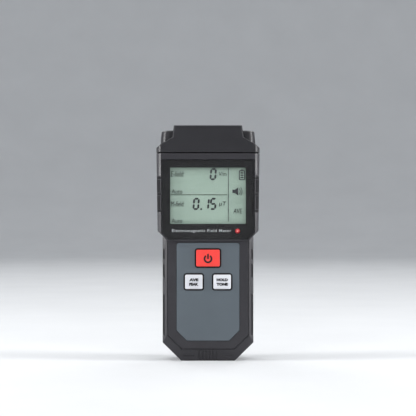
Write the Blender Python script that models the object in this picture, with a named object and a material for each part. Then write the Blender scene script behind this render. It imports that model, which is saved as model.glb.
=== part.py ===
"""A hand-held electromagnetic field meter, built as an assembly of separate solids.

Lengths are in millimetres and become metres where a mesh is made.
X points to the user's right, Y from the display to the back, Z up.
The origin is under the middle of the lower end, on which the meter stands.
"""

import math

import bmesh
import bpy
from mathutils import Matrix, Vector

MM = 0.001

# Clearances and walls
GAP = 0.3
WALL = 1.8
SEAM = 0.55

# Overall size
HEIGHT = 138.0
HALF_DEPTH = 14.0

# Handle
HANDLE_HALF_WIDTH = 26.65
HANDLE_CORNER_Z = 10.7
END_HALF_WIDTH = 15.7
STRIP_WIDTH = 2.45
STRIP_FRONT_Y = -12.6
STRIP_BACK_Y = -10.2
FRAME_FACE_Y = -12.8
GROOVE_FLOOR_Y = -12.2
HANDLE_INNER_Y = -11.0

# Head, the wider part around the display
HEAD_HALF_WIDTH = 30.5
HEAD_LOW_HALF_WIDTH = 29.8
HEAD_LOW_Z = 76.2
HEAD_FOOT_HALF_WIDTH = 24.0
HEAD_FOOT_Z = 70.3
HEAD_INNER_Y = -11.2
SEAM_Z = 121.9

# Front edge of the head and of the cap: a narrow bevel, a slanting flank, then the upright side
RIM_HALF_WIDTH = 27.6
BEVEL_HALF_WIDTH = 29.0
FLANK_HALF_WIDTH = 30.3
BEVEL_Y = -12.9
FLANK_Y = -9.6

# Finger grips: height ranges on the handle, one range and its notches on the head
HANDLE_GRIPS = ((14.9, 39.1), (48.8, 56.7), (59.6, 65.4))
HEAD_GRIP = (87.0, 108.4)
HEAD_NOTCHES = (87.9, 97.7, 107.2)
GRIP_SLOPE = 0.394

# Sensor cap
CAP_TOP_HALF_WIDTH = 19.95
TIER_TOP_Z = 135.3
TIER_RADIUS = 5.5

# Display
DISPLAY_CENTRE_Z = 96.8
WINDOW_HALF_WIDTH = 27.25
WINDOW_BOTTOM_Z = 71.0
WINDOW_TOP_Z = 117.9
WINDOW_THICKNESS = 1.2
WINDOW_FRONT_Y = -13.9
WINDOW_CHAMFER = 3.9
LCD_WIDTH = 46.6
LCD_HEIGHT = 34.8
LCD_THICKNESS = 2.0
LED_X = 17.3
LED_Z = 76.1
LED_RADIUS = 1.3

# Keys: centre X, centre Z, width, height
KEYS = {
    "power_key": (0.0, 60.3, 13.7, 9.8),
    "mode_key": (-8.3, 46.4, 10.2, 8.4),
    "hold_key": (8.3, 46.4, 10.2, 8.4),
}
KEY_MARGIN = 0.75
KEY_FRONT_Y = -13.6
KEY_FLANGE = 1.5
KEY_FLANGE_Y = (-10.6, -9.8)
KEY_STEM_BACK_Y = -8.6
OVERLAY_HALF_WIDTH = 18.4
OVERLAY_BOTTOM_Z = 12.0
OVERLAY_TOP_Z = 69.2
OVERLAY_FRONT_Y = -12.7
OVERLAY_THICKNESS = 0.3
OVERLAY_CHAMFER = 6.1
OVERLAY_RADIUS = 1.5

# Main board
BOARD_FRONT_Y = -6.4
BOARD_BACK_Y = -4.8

# Battery bay, open to the back
CELL_RADIUS = 5.25
CELL_LENGTH = 44.5
CELL_PITCH = 11.0
CELL_Y = 5.65
BAY_BOTTOM_Z = 11.3
BAY_TOP_Z = 62.5
BAY_HALF_WIDTH = 17.0
BAY_FLOOR_Y = 0.1
PLATE_THICKNESS = 0.4
SPRING_LENGTH = 4.4

# Battery cover
COVER_HALF_WIDTH = 19.0
COVER_BOTTOM_Z = 9.4
COVER_TOP_Z = 67.0
COVER_INNER_Y = 12.3
COVER_HINGE = (0.0, 13.6, 9.0)
LUG_X = 11.0
LUG_WIDTH = 5.0

# Screws, as (X, Z)
CASE_SCREWS = {
    "case_screw_top_left": (-21.5, 117.9),
    "case_screw_top_right": (21.5, 117.9),
    "case_screw_middle_left": (-19.2, 72.0),
    "case_screw_middle_right": (19.2, 72.0),
}
BOARD_SCREWS = {
    "board_screw_top_left": (-9.0, 117.9),
    "board_screw_top_right": (9.0, 117.9),
    "board_screw_bottom_left": (-18.5, 20.0),
    "board_screw_bottom_right": (18.5, 20.0),
}
CASE_SCREW_SEAT_Y = 6.3

ROUND_STEPS = 20
SMALL_ROUND_STEPS = 12

# Base colour, roughness, metallic
MATERIALS = {
    "shell_plastic": ((0.042, 0.041, 0.047), 0.55, 0.0),
    "cap_plastic": ((0.040, 0.039, 0.045), 0.55, 0.0),
    "window_acrylic": ((0.015, 0.015, 0.018), 0.12, 0.0),
    "overlay_film": ((0.120, 0.152, 0.180), 0.50, 0.0),
    "red_key_plastic": ((0.800, 0.060, 0.050), 0.40, 0.0),
    "white_key_plastic": ((0.780, 0.790, 0.840), 0.40, 0.0),
    "led_epoxy": ((0.700, 0.040, 0.050), 0.20, 0.0),
    "lcd_panel": ((0.330, 0.440, 0.385), 0.30, 0.0),
    "white_plastic": ((0.750, 0.750, 0.720), 0.50, 0.0),
    "black_plastic": ((0.020, 0.020, 0.022), 0.50, 0.0),
    "board_laminate": ((0.020, 0.130, 0.050), 0.45, 0.0),
    "silicone_rubber": ((0.180, 0.180, 0.190), 0.70, 0.0),
    "carbon_rubber": ((0.010, 0.010, 0.010), 0.80, 0.0),
    "zinc_steel": ((0.550, 0.560, 0.570), 0.35, 1.0),
    "nickel_steel": ((0.620, 0.600, 0.560), 0.25, 1.0),
    "copper": ((0.720, 0.350, 0.200), 0.30, 1.0),
    "ferrite": ((0.060, 0.058, 0.060), 0.60, 0.0),
    "cell_sleeve": ((0.050, 0.110, 0.200), 0.30, 0.3),
    "aluminium": ((0.700, 0.700, 0.710), 0.30, 1.0),
    "foam": ((0.060, 0.060, 0.065), 0.95, 0.0),
    "red_wire": ((0.550, 0.030, 0.020), 0.50, 0.0),
    "black_wire": ((0.020, 0.020, 0.020), 0.50, 0.0),
}


# ---------------------------------------------------------------- outlines

def mirrored(right_side):
    """Close an outline from its right side, which is listed from the bottom up."""
    return right_side + [(-x, z) for x, z in reversed(right_side)]


def inset(outline, side, top=0.0, bottom=0.0):
    """Move the edges of a mirrored outline inwards, its top and bottom edge by their own amounts."""
    count = len(outline)
    distances = [side] * count
    distances[count // 2 - 1] = top
    distances[count - 1] = bottom
    corners = []
    for i in range(count):
        corner = Vector(outline[i])
        before = (corner - Vector(outline[i - 1])).normalized()
        after = (Vector(outline[(i + 1) % count]) - corner).normalized()
        shift_before = Vector((-before.y, before.x)) * distances[i - 1]
        shift_after = Vector((-after.y, after.x)) * distances[i]
        turn = before.x * after.y - before.y * after.x
        gap = shift_after - shift_before
        along = (gap.x * after.y - gap.y * after.x) / turn
        corners.append(tuple(corner + shift_before + before * along))
    return corners


def rounded_rectangle(centre_x, centre_z, width, height, radius, steps=3):
    """A rectangle with round corners, counter-clockwise from its lower right corner."""
    outline = []
    for quarter, (side_x, side_z) in enumerate(((1, -1), (1, 1), (-1, 1), (-1, -1))):
        corner_x = centre_x + side_x * (width / 2 - radius)
        corner_z = centre_z + side_z * (height / 2 - radius)
        for step in range(steps + 1):
            angle = math.radians(-90 + 90 * quarter + 90 * step / steps)
            outline.append((corner_x + radius * math.cos(angle), corner_z + radius * math.sin(angle)))
    return outline


def handle_outline(half_width, corner_z, end_half_width, end_z, top_z=80.0):
    """Straight sides with a chamfered lower end."""
    return mirrored([(end_half_width, end_z), (half_width, corner_z), (half_width, top_z)])


def head_outline(half_width, low_half_width, low_z, foot_half_width, foot_z, top_z):
    """The head: nearly straight sides above a chamfered foot."""
    return mirrored([(foot_half_width, foot_z), (low_half_width, low_z), (half_width, top_z)])


def at_x(outline, x):
    return [(x, y, z) for y, z in outline]


def at_y(outline, y):
    return [(x, y, z) for x, z in outline]


def at_z(outline, z):
    return [(x, y, z) for x, y in outline]


def circle(radius, centre=(0.0, 0.0), steps=ROUND_STEPS):
    """Points of a circle in a plane, for at_x, at_y or at_z."""
    turns = [2 * math.pi * i / steps for i in range(steps)]
    return [(centre[0] + radius * math.cos(a), centre[1] + radius * math.sin(a)) for a in turns]


# ---------------------------------------------------------------- solids

def make_material(name):
    colour, roughness, metallic = MATERIALS[name]
    material = bpy.data.materials.new(name)
    material.use_nodes = True
    shader = material.node_tree.nodes["Principled BSDF"]
    shader.inputs["Base Color"].default_value = (*colour, 1.0)
    shader.inputs["Roughness"].default_value = roughness
    shader.inputs["Metallic"].default_value = metallic
    material.diffuse_color = (*colour, 1.0)
    return material


def link(name, body, material):
    """Make an object of a body; its twisted quads are split, its flat end caps are left whole."""
    quads = [face for face in body.faces if len(face.verts) == 4]
    bmesh.ops.connect_verts_nonplanar(body, angle_limit=0.0002, faces=quads)
    bmesh.ops.recalc_face_normals(body, faces=body.faces)
    mesh = bpy.data.meshes.new(name)
    body.to_mesh(mesh)
    body.free()
    solid = bpy.data.objects.new(name, mesh)
    bpy.context.scene.collection.objects.link(solid)
    if material:
        mesh.materials.append(bpy.data.materials.get(material) or make_material(material))
    return solid


def skin(name, rings, material=None, closed=False):
    """A closed body over rings of equal point count; closed joins the last ring to the first."""
    body = bmesh.new()
    loops = [[body.verts.new(Vector(point) * MM) for point in ring] for ring in rings]
    pairs = list(zip(loops, loops[1:]))
    if closed:
        pairs.append((loops[-1], loops[0]))
    else:
        body.faces.new(loops[0])
        body.faces.new(loops[-1])
    count = len(rings[0])
    for lower, upper in pairs:
        for i in range(count):
            j = (i + 1) % count
            body.faces.new((lower[i], lower[j], upper[j], upper[i]))
    return link(name, body, material)


def box(name, x_range, y_range, z_range, material=None):
    left, right = x_range
    low, high = z_range
    corners = [(left, low), (right, low), (right, high), (left, high)]
    return skin(name, [at_y(corners, y) for y in y_range], material)


def turned(name, profile, centre, axis, material=None, steps=ROUND_STEPS, closed=False):
    """A turned body: profile lists (position along the axis, radius)."""
    rings = []
    for position, radius in profile:
        if axis == "X":
            rings.append(at_x(circle(radius, centre, steps), position))
        elif axis == "Y":
            rings.append(at_y(circle(radius, centre, steps), position))
        else:
            rings.append(at_z(circle(radius, centre, steps), position))
    solid = skin(name, rings, material, closed)
    smooth(solid)
    return solid


def smooth(solid, angle=35.0):
    solid.data.shade_smooth()
    solid.data.set_sharp_from_angle(angle=math.radians(angle))


def tube(name, path, radius, material, steps=8):
    """A round wire along a list of points, its rings carried along without twist."""
    points = [Vector(point) for point in path]
    tangents = []
    for i in range(len(points)):
        tangents.append((points[min(i + 1, len(points) - 1)] - points[max(i - 1, 0)]).normalized())
    side = tangents[0].orthogonal().normalized()
    rings = []
    for point, tangent in zip(points, tangents):
        side = (side - tangent * side.dot(tangent)).normalized()
        other = tangent.cross(side)
        ring = []
        for i in range(steps):
            angle = 2 * math.pi * i / steps
            ring.append(point + (side * math.cos(angle) + other * math.sin(angle)) * radius)
        rings.append(ring)
    solid = skin(name, rings, material)
    smooth(solid, 60.0)
    return solid


def smooth_route(knots, steps=6):
    """Points of a Catmull-Rom curve through the knots."""
    padded = [Vector(k) for k in [knots[0]] + list(knots) + [knots[-1]]]
    route = []
    for a, b, c, d in zip(padded, padded[1:], padded[2:], padded[3:]):
        for step in range(steps):
            t = step / steps
            route.append(
                0.5 * (2 * b + (c - a) * t + (2 * a - 5 * b + 4 * c - d) * t ** 2
                       + (3 * b - 3 * c + d - a) * t ** 3)
            )
    route.append(padded[-1])
    return route


def combine(target, tool, operation):
    tool.display_type = "WIRE"
    tool.hide_render = True
    modifier = target.modifiers.new(tool.name, "BOOLEAN")
    modifier.operation = operation
    modifier.solver = "EXACT"
    modifier.object = tool


def cut(target, tool):
    combine(target, tool, "DIFFERENCE")


def add(target, tool):
    combine(target, tool, "UNION")


def set_origin(solid, point):
    """Put an object's origin on a point without moving its surface."""
    place = Vector(point) * MM
    solid.data.transform(Matrix.Translation(-place))
    solid.location = place


# ---------------------------------------------------------------- casing

def head_rings(top_z):
    """The head's outside from its bevelled front rim to the parting plane."""
    levels = [
        (-HALF_DEPTH, RIM_HALF_WIDTH, RIM_HALF_WIDTH, 74.6, 23.7, 70.45),
        (BEVEL_Y, BEVEL_HALF_WIDTH, 28.7, 75.4, 23.85, 70.4),
        (FLANK_Y, FLANK_HALF_WIDTH, 29.65, 76.1, 23.97, 70.32),
        (-2.0, HEAD_HALF_WIDTH, HEAD_LOW_HALF_WIDTH, HEAD_LOW_Z, HEAD_FOOT_HALF_WIDTH, HEAD_FOOT_Z),
        (-GAP / 2, HEAD_HALF_WIDTH, HEAD_LOW_HALF_WIDTH, HEAD_LOW_Z, HEAD_FOOT_HALF_WIDTH, HEAD_FOOT_Z),
    ]
    rings = []
    for y, half_width, low_half_width, low_z, foot_half_width, foot_z in levels:
        outline = head_outline(half_width, low_half_width, low_z, foot_half_width, foot_z, top_z)
        rings.append(at_y(outline, y))
    return rings


def grip_facet(name, side, front_x, back_y, z_range, ramp):
    """A wedge that cuts a slanting facet into a side, with a short ramp at each end."""
    front_y = -15.0
    back_x = front_x + GRIP_SLOPE * (back_y - front_y)
    wedge = [(front_x, front_y), (34.0, front_y), (34.0, back_y), (back_x, back_y)]
    clear = [(x + 3.0, y) for x, y in wedge]
    low_z, high_z = z_range
    levels = [(clear, low_z - ramp), (wedge, low_z), (wedge, high_z), (clear, high_z + ramp)]
    rings = [at_z([(side * x, y) for x, y in outline], z) for outline, z in levels]
    return skin(name, rings)


def cut_grips(shell):
    """Slanting finger facets along both edges of the handle and of the head."""
    for side in (-1, 1):
        for z_range in HANDLE_GRIPS:
            cut(shell, grip_facet("tool_handle_grip", side, 24.1, -7.5, z_range, 0.8))
        cut(shell, grip_facet("tool_head_grip", side, 27.4, -6.0, HEAD_GRIP, 1.2))
        for z in HEAD_NOTCHES:
            cut(shell, grip_facet("tool_head_notch", side, 27.0, -5.0, (z - 0.8, z + 0.8), 0.3))


def cut_lower_end(shell):
    """Ribs in the middle of the sloping lower end and a slot on each side of them."""
    groove = [(-14.5, -1.0), (-9.6, -1.0), (-9.6, -0.5), (-12.0, 6.2), (-14.5, 6.2)]
    for i in range(6):
        x = 2.0 * i - 5.0
        cut(shell, skin("tool_end_groove", [at_x(groove, x - 0.5), at_x(groove, x + 0.5)]))
    for side in (-1, 1):
        ends = sorted((side * 8.0, side * 14.2))
        cut(shell, box("tool_end_slot", ends, (-14.0, -10.9), (2.5, 3.5)))


def key_outline(key, grow, radius=1.0):
    x, z, width, height = KEYS[key]
    return rounded_rectangle(x, z, width + 2 * grow, height + 2 * grow, radius)


def window_outline(grow):
    right_side = [
        (WINDOW_HALF_WIDTH - WINDOW_CHAMFER, WINDOW_BOTTOM_Z),
        (WINDOW_HALF_WIDTH, WINDOW_BOTTOM_Z + WINDOW_CHAMFER),
        (WINDOW_HALF_WIDTH, WINDOW_TOP_Z),
    ]
    return inset(mirrored(right_side), -grow, -grow, -grow)


def overlay_outline(grow):
    right_side = [
        (OVERLAY_HALF_WIDTH - OVERLAY_CHAMFER, OVERLAY_BOTTOM_Z),
        (OVERLAY_HALF_WIDTH, OVERLAY_BOTTOM_Z + OVERLAY_CHAMFER),
    ]
    for step in range(4):
        angle = math.radians(30 * step)
        right_side.append((
            OVERLAY_HALF_WIDTH + OVERLAY_RADIUS * (math.cos(angle) - 1),
            OVERLAY_TOP_Z + OVERLAY_RADIUS * (math.sin(angle) - 1),
        ))
    return inset(mirrored(right_side), -grow, -grow, -grow)


def make_front_shell():
    edge = handle_outline(HANDLE_HALF_WIDTH, HANDLE_CORNER_Z, END_HALF_WIDTH, 0.0)
    strip_half_width = HANDLE_HALF_WIDTH - STRIP_WIDTH
    shell = skin("front_shell", [
        at_y(handle_outline(strip_half_width, 15.0, 15.6, 6.7), STRIP_FRONT_Y),
        at_y(edge, STRIP_BACK_Y),
        at_y(edge, -GAP / 2),
    ], "shell_plastic")

    groove = handle_outline(strip_half_width - 0.05, 15.1, 15.5, 6.75)
    cut(shell, skin("tool_groove", [at_y(groove, y) for y in (-14.0, GROOVE_FLOOR_Y)]))
    frame = handle_outline(23.55, 15.5, 14.9, 7.3)
    add(shell, skin("tool_frame", [
        at_y(inset(frame, 0.2, 0.0, 0.2), FRAME_FACE_Y),
        at_y(frame, FRAME_FACE_Y + 0.2),
        at_y(frame, GROOVE_FLOOR_Y + 0.4),
    ]))
    add(shell, skin("tool_head", head_rings(SEAM_Z - SEAM / 2)))

    cut(shell, skin("tool_handle_cavity", [
        at_y(handle_outline(22.6, 15.6, 13.2, 8.2), HANDLE_INNER_Y),
        at_y(handle_outline(24.4, 12.6, 14.4, 2.4), -9.4),
        at_y(handle_outline(24.4, 12.6, 14.4, 2.4), 1.0),
    ]))
    cut(shell, skin("tool_head_cavity", [
        at_y(head_outline(26.6, 26.6, 76.6, 22.4, 72.4, 124.0), HEAD_INNER_Y),
        at_y(head_outline(27.8, 27.6, 76.9, 22.8, 72.2, 124.0), -9.6),
        at_y(head_outline(28.6, 28.0, 77.0, 23.0, 72.1, 124.0), -2.0),
        at_y(head_outline(28.6, 28.0, 77.0, 23.0, 72.1, 124.0), 1.0),
    ]))
    for x, z in CASE_SCREWS.values():
        add(shell, turned("tool_case_boss", [(-11.7, 2.3), (-0.6, 2.3)], (x, z), "Y"))
        cut(shell, turned("tool_case_bore", [(-8.5, 1.3), (0.5, 1.3)], (x, z), "Y", steps=SMALL_ROUND_STEPS))
    for x, z in BOARD_SCREWS.values():
        add(shell, turned("tool_board_boss", [(-11.7, 2.2), (BOARD_FRONT_Y - GAP, 2.2)], (x, z), "Y"))
        bore = [(-10.4, 1.2), (0.0, 1.2)]
        cut(shell, turned("tool_board_bore", bore, (x, z), "Y", steps=SMALL_ROUND_STEPS))

    seat_y = WINDOW_FRONT_Y + WINDOW_THICKNESS + GAP
    cut(shell, skin("tool_window_seat", [at_y(window_outline(0.15), y) for y in (-15.0, seat_y)]))
    opening = rounded_rectangle(0.0, DISPLAY_CENTRE_Z, 45.4, 33.8, 0.6, 2)
    cut(shell, skin("tool_display_opening", [at_y(opening, y) for y in (-15.0, -10.0)]))
    led_hole = [(-15.0, LED_RADIUS + GAP), (-10.0, LED_RADIUS + GAP)]
    cut(shell, turned("tool_led_hole", led_hole, (LED_X, LED_Z), "Y"))

    seat_y = OVERLAY_FRONT_Y + OVERLAY_THICKNESS + GAP
    cut(shell, skin("tool_overlay_seat", [at_y(overlay_outline(0.25), y) for y in (-15.0, seat_y)]))
    for key in KEYS:
        hole = key_outline(key, KEY_MARGIN + 0.2)
        cut(shell, skin("tool_key_hole", [at_y(hole, y) for y in (-15.0, -10.0)]))
    cut_grips(shell)
    cut_lower_end(shell)
    return shell


def back_outline():
    """The casing's full outline at the parting plane."""
    return mirrored([
        (END_HALF_WIDTH, 0.0),
        (HANDLE_HALF_WIDTH, HANDLE_CORNER_Z),
        (HANDLE_HALF_WIDTH, 73.05),
        (HEAD_LOW_HALF_WIDTH, HEAD_LOW_Z),
        (HEAD_HALF_WIDTH, SEAM_Z - SEAM / 2),
    ])


def bay_outline(half_width, bottom_z, top_z, chamfer):
    """The battery bay's outline: a rectangle with its lower corners chamfered."""
    return mirrored([
        (half_width - chamfer, bottom_z),
        (half_width, bottom_z + chamfer),
        (half_width, top_z),
    ])


def make_rear_shell():
    outline = back_outline()
    shell = skin("rear_shell", [
        at_y(outline, GAP / 2),
        at_y(inset(outline, 0.5), 9.5),
        at_y(inset(outline, 1.9, 0.0, 1.2), 12.4),
        at_y(inset(outline, 4.6, 0.0, 4.0), HALF_DEPTH),
    ], "shell_plastic")
    cut(shell, skin("tool_rear_cavity", [
        at_y(inset(outline, 2.0, -2.0, 2.0), -1.0),
        at_y(inset(outline, 2.3, -2.0, 2.3), 9.5),
        at_y(inset(outline, 4.4, -2.0, 4.0), HALF_DEPTH - WALL),
    ]))

    ledge = bay_outline(COVER_HALF_WIDTH + 1.6, COVER_BOTTOM_Z - 2.0, COVER_TOP_Z + 2.4, 3.6)
    add(shell, skin("tool_ledge", [at_y(ledge, y) for y in (10.4, 13.0)]))
    tray = bay_outline(BAY_HALF_WIDTH + 1.2, BAY_BOTTOM_Z - 1.2, BAY_TOP_Z + 1.2, 2.0)
    add(shell, skin("tool_tray", [at_y(tray, y) for y in (BAY_FLOOR_Y - 1.0, 12.5)]))
    for x, z in CASE_SCREWS.values():
        add(shell, turned("tool_rear_boss", [(0.6, 3.2), (12.6, 3.2)], (x, z), "Y"))
    pocket = bay_outline(BAY_HALF_WIDTH, BAY_BOTTOM_Z, BAY_TOP_Z, 1.4)
    cut(shell, skin("tool_bay", [at_y(pocket, y) for y in (BAY_FLOOR_Y, 15.0)]))
    seat = inset(cover_outline(), -0.35, -0.4, -0.45)
    cut(shell, skin("tool_cover_seat", [at_y(seat, y) for y in (COVER_INNER_Y - GAP, 15.0)]))
    for side in (-1, 1):
        ends = (side * LUG_X - LUG_WIDTH / 2 - 0.6, side * LUG_X + LUG_WIDTH / 2 + 0.6)
        cut(shell, box("tool_lug_slot", ends, (9.6, COVER_INNER_Y - 0.25), (6.0, 11.9)))
    notch = [(15.0, 66.5), (15.0, 72.4), (14.2, 71.8), (12.9, 69.4), (12.9, 66.5)]
    cut(shell, skin("tool_finger_notch", [at_x(notch, x) for x in (-5.5, 5.5)]))
    for x, z in CASE_SCREWS.values():
        cut(shell, turned("tool_counterbore", [(CASE_SCREW_SEAT_Y, 2.5), (15.0, 2.5)], (x, z), "Y"))
        cut(shell, turned("tool_screw_hole", [(0.0, 1.4), (7.0, 1.4)], (x, z), "Y", steps=SMALL_ROUND_STEPS))
    for i in range(5):
        slot = rounded_rectangle(0.0, 86.0 + 3.4 * i, 14.0, 1.3, 0.6, 3)
        cut(shell, skin("tool_sound_slot", [at_y(slot, y) for y in (11.0, 15.0)]))
    cut(shell, box("tool_tab_slot_low", (12.4, 15.3), (-1.5, 0.6), (BAY_BOTTOM_Z - 0.1, BAY_BOTTOM_Z + 1.1)))
    cut(shell, box("tool_tab_slot_high", (-15.3, -12.4), (-1.5, 0.6), (BAY_TOP_Z - 1.1, BAY_TOP_Z + 0.1)))
    return shell


def make_sensor_cap():
    low_z = SEAM_Z + SEAM / 2
    shoulder = [(28.0, 127.0), (21.0, 130.85), (CAP_TOP_HALF_WIDTH, HEIGHT)]
    front_levels = [
        (-HALF_DEPTH, [(RIM_HALF_WIDTH, low_z), (RIM_HALF_WIDTH, 126.6), (27.0, 127.3), (20.3, 131.0),
                       (CAP_TOP_HALF_WIDTH - 0.65, HEIGHT - 0.3)]),
        (BEVEL_Y, [(BEVEL_HALF_WIDTH, low_z), (BEVEL_HALF_WIDTH, 125.7), (27.8, 127.0), (20.95, 130.85),
                   (CAP_TOP_HALF_WIDTH, HEIGHT)]),
        (FLANK_Y, [(FLANK_HALF_WIDTH, low_z), (FLANK_HALF_WIDTH, 124.9)] + shoulder),
        (-6.5, [(30.4, low_z), (30.4, 124.8)] + shoulder),
    ]
    cap = skin("sensor_cap", [at_y(mirrored(side), y) for y, side in front_levels], "cap_plastic")

    band = mirrored([(HEAD_HALF_WIDTH, low_z), (HEAD_HALF_WIDTH, 124.7), (28.0, 127.0)])
    front_band = mirrored([(30.36, low_z), (30.36, 124.7), (28.0, 126.8)])
    add(cap, skin("tool_band", [
        at_y(front_band, -7.0),
        at_y(band, -5.0),
        at_y(band, 0.0),
        at_y(inset(band, 0.5), 9.5),
        at_y(inset(band, 1.9, 0.3), 12.4),
        at_y(inset(band, 4.6, 0.6), HALF_DEPTH),
    ]))

    tier_levels = ((124.0, 28.2, 0.0), (131.0, 27.9, 0.0), (134.5, 27.5, 0.1), (TIER_TOP_Z, 26.7, 0.9))
    tier = []
    for z, half_width, shrink in tier_levels:
        depth = 19.5 - 2 * shrink
        tier.append(at_z(rounded_rectangle(0.0, 2.75, 2 * half_width, depth, TIER_RADIUS, 6), z))
    add(cap, skin("tool_tier", tier))

    block_levels = ((126.0, 21.6, 0.0), (137.3, 20.05, 0.0), (HEIGHT, 19.3, 0.7))
    block = []
    for z, half_width, shrink in block_levels:
        outline = [
            (half_width, -7.5), (half_width, 4.5 - shrink), (half_width - 2.5, 7.0 - shrink),
            (2.5 - half_width, 7.0 - shrink), (-half_width, 4.5 - shrink), (-half_width, -7.5),
        ]
        block.append(at_z(outline, z))
    add(cap, skin("tool_block", block))

    add(cap, box("tool_skirt", (-26.4, 26.4), (-10.4, 10.4), (121.4, 123.0)))
    cut(cap, box("tool_base_hollow", (-25.2, 25.2), (-9.2, 9.2), (120.0, 124.5)))
    cut(cap, box("tool_tier_hollow", (-25.0, 25.0), (-5.0, 9.1), (123.0, 133.4)))
    cut(cap, box("tool_block_hollow", (-17.5, 17.5), (-11.9, 4.2), (123.0, 136.2)))
    return cap


def cover_outline():
    return bay_outline(COVER_HALF_WIDTH, COVER_BOTTOM_Z, COVER_TOP_Z, 3.0)


def make_battery_cover():
    outline = cover_outline()
    cover = skin("battery_cover", [
        at_y(outline, COVER_INNER_Y),
        at_y(outline, HALF_DEPTH - 0.4),
        at_y(inset(outline, 0.4, 0.4, 0.4), HALF_DEPTH),
    ], "shell_plastic")
    lug = [(10.9, 6.7), (11.7, 6.7), (11.7, 9.6), (12.5, 9.6), (12.5, 11.0), (10.9, 11.0)]
    for side in (-1, 1):
        ends = (side * LUG_X - LUG_WIDTH / 2, side * LUG_X + LUG_WIDTH / 2)
        add(cover, skin("tool_lug", [at_x(lug, x) for x in ends]))
    for i in range(4):
        z = 55.0 + 2.2 * i
        cut(cover, box("tool_thumb_groove", (-7.0, 7.0), (13.5, 15.0), (z, z + 1.0)))
    for side in (-1, 1):
        ends = sorted((side * 5.6, side * 6.6))
        cut(cover, box("tool_latch_slit", ends, (12.0, 15.0), (63.0, 68.0)))
    set_origin(cover, COVER_HINGE)
    return cover


# ---------------------------------------------------------------- display and keys

def make_display_window():
    outline = window_outline(0.0)
    back_y = WINDOW_FRONT_Y + WINDOW_THICKNESS
    window = skin("display_window", [at_y(outline, y) for y in (WINDOW_FRONT_Y, back_y)], "window_acrylic")
    hole = [(-15.0, LED_RADIUS + 0.15), (-12.0, LED_RADIUS + 0.15)]
    cut(window, turned("tool_window_hole", hole, (LED_X, LED_Z), "Y"))


def make_keypad_overlay():
    back_y = OVERLAY_FRONT_Y + OVERLAY_THICKNESS
    rings = [at_y(overlay_outline(0.0), y) for y in (OVERLAY_FRONT_Y, back_y)]
    overlay = skin("keypad_overlay", rings, "overlay_film")
    for key in KEYS:
        hole = key_outline(key, KEY_MARGIN)
        cut(overlay, skin("tool_overlay_hole", [at_y(hole, y) for y in (-14.0, -11.0)]))


def make_key(key, material):
    """A key cap: crown, retaining flange behind the front wall, and stem."""
    x, z, width, height = KEYS[key]
    stem = rounded_rectangle(x, z, width - 4.8, height - 3.6, 0.5)
    cap = skin(key, [
        at_y(key_outline(key, -0.35, 0.6), KEY_FRONT_Y),
        at_y(key_outline(key, 0.0, 0.8), KEY_FRONT_Y + 0.35),
        at_y(key_outline(key, 0.0, 0.8), KEY_FLANGE_Y[0]),
        at_y(key_outline(key, KEY_FLANGE), KEY_FLANGE_Y[0]),
        at_y(key_outline(key, KEY_FLANGE), KEY_FLANGE_Y[1]),
        at_y(stem, KEY_FLANGE_Y[1]),
        at_y(stem, KEY_STEM_BACK_Y),
    ], material)
    set_origin(cap, (x, KEY_FRONT_Y, z))


def make_contact_pill(key):
    x, z = KEYS[key][:2]
    name = key.replace("_key", "_contact_pill")
    front_y = KEY_STEM_BACK_Y + GAP
    profile = [(front_y, 2.0), (front_y + 0.6, 2.0)]
    pill = turned(name, profile, (x, z), "Y", "carbon_rubber", SMALL_ROUND_STEPS)
    set_origin(pill, (x, front_y, z))


def make_keypad_mat():
    mat = box("keypad_mat", (-17.2, 17.2), (-7.9, BOARD_FRONT_Y - GAP), (38.0, 67.4), "silicone_rubber")
    for key, (x, z, width, height) in KEYS.items():
        collar = rounded_rectangle(x, z, width - 1.6, height - 0.6, 1.0)
        add(mat, skin("tool_collar", [at_y(collar, y) for y in (-8.5, -7.5)]))
        hole = rounded_rectangle(x, z, width - 3.8, height - 2.6, 0.8)
        cut(mat, skin("tool_mat_hole", [at_y(hole, y) for y in (-9.0, -6.0)]))


def make_display_stack():
    """Liquid crystal panel, its backlight, the frame around both and the rubber connector."""
    front_y = HEAD_INNER_Y + GAP
    back_y = front_y + LCD_THICKNESS
    half_width = LCD_WIDTH / 2
    low_z = DISPLAY_CENTRE_Z - LCD_HEIGHT / 2
    high_z = DISPLAY_CENTRE_Z + LCD_HEIGHT / 2
    box("lcd_panel", (-half_width, half_width), (front_y, back_y), (low_z, high_z), "lcd_panel")

    light_y = (back_y + GAP, BOARD_FRONT_Y - GAP)
    box("backlight_panel", (-half_width, half_width), light_y, (low_z + 2.6, high_z), "white_plastic")
    box("lcd_connector", (-half_width, half_width), light_y, (low_z + 0.3, low_z + 2.3), "silicone_rubber")

    frame = box(
        "lcd_frame", (-half_width - 1.4, half_width + 1.4), (front_y, BOARD_FRONT_Y - GAP),
        (low_z - 1.4, high_z + 1.0), "white_plastic",
    )
    inner = ((-half_width - GAP, half_width + GAP), (-12.0, -5.0), (low_z - GAP, high_z + GAP))
    cut(frame, box("tool_frame_opening", *inner))


def make_alarm_led():
    """A small round lamp with its flange; its two leads end just short of the board."""
    profile = [
        (-13.85, 0.35), (-13.7, 0.75), (-13.35, 1.15), (-12.8, LED_RADIUS),
        (-9.4, LED_RADIUS), (-9.4, 1.6), (-8.8, 1.6),
    ]
    led = turned("alarm_led", profile, (LED_X, LED_Z), "Y", "led_epoxy", SMALL_ROUND_STEPS)
    for side in (-0.64, 0.64):
        lead = (LED_X + side - 0.25, LED_X + side + 0.25)
        add(led, box("tool_led_lead", lead, (-9.0, BOARD_FRONT_Y - GAP), (LED_Z - 0.25, LED_Z + 0.25)))


# ---------------------------------------------------------------- electronics

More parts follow.
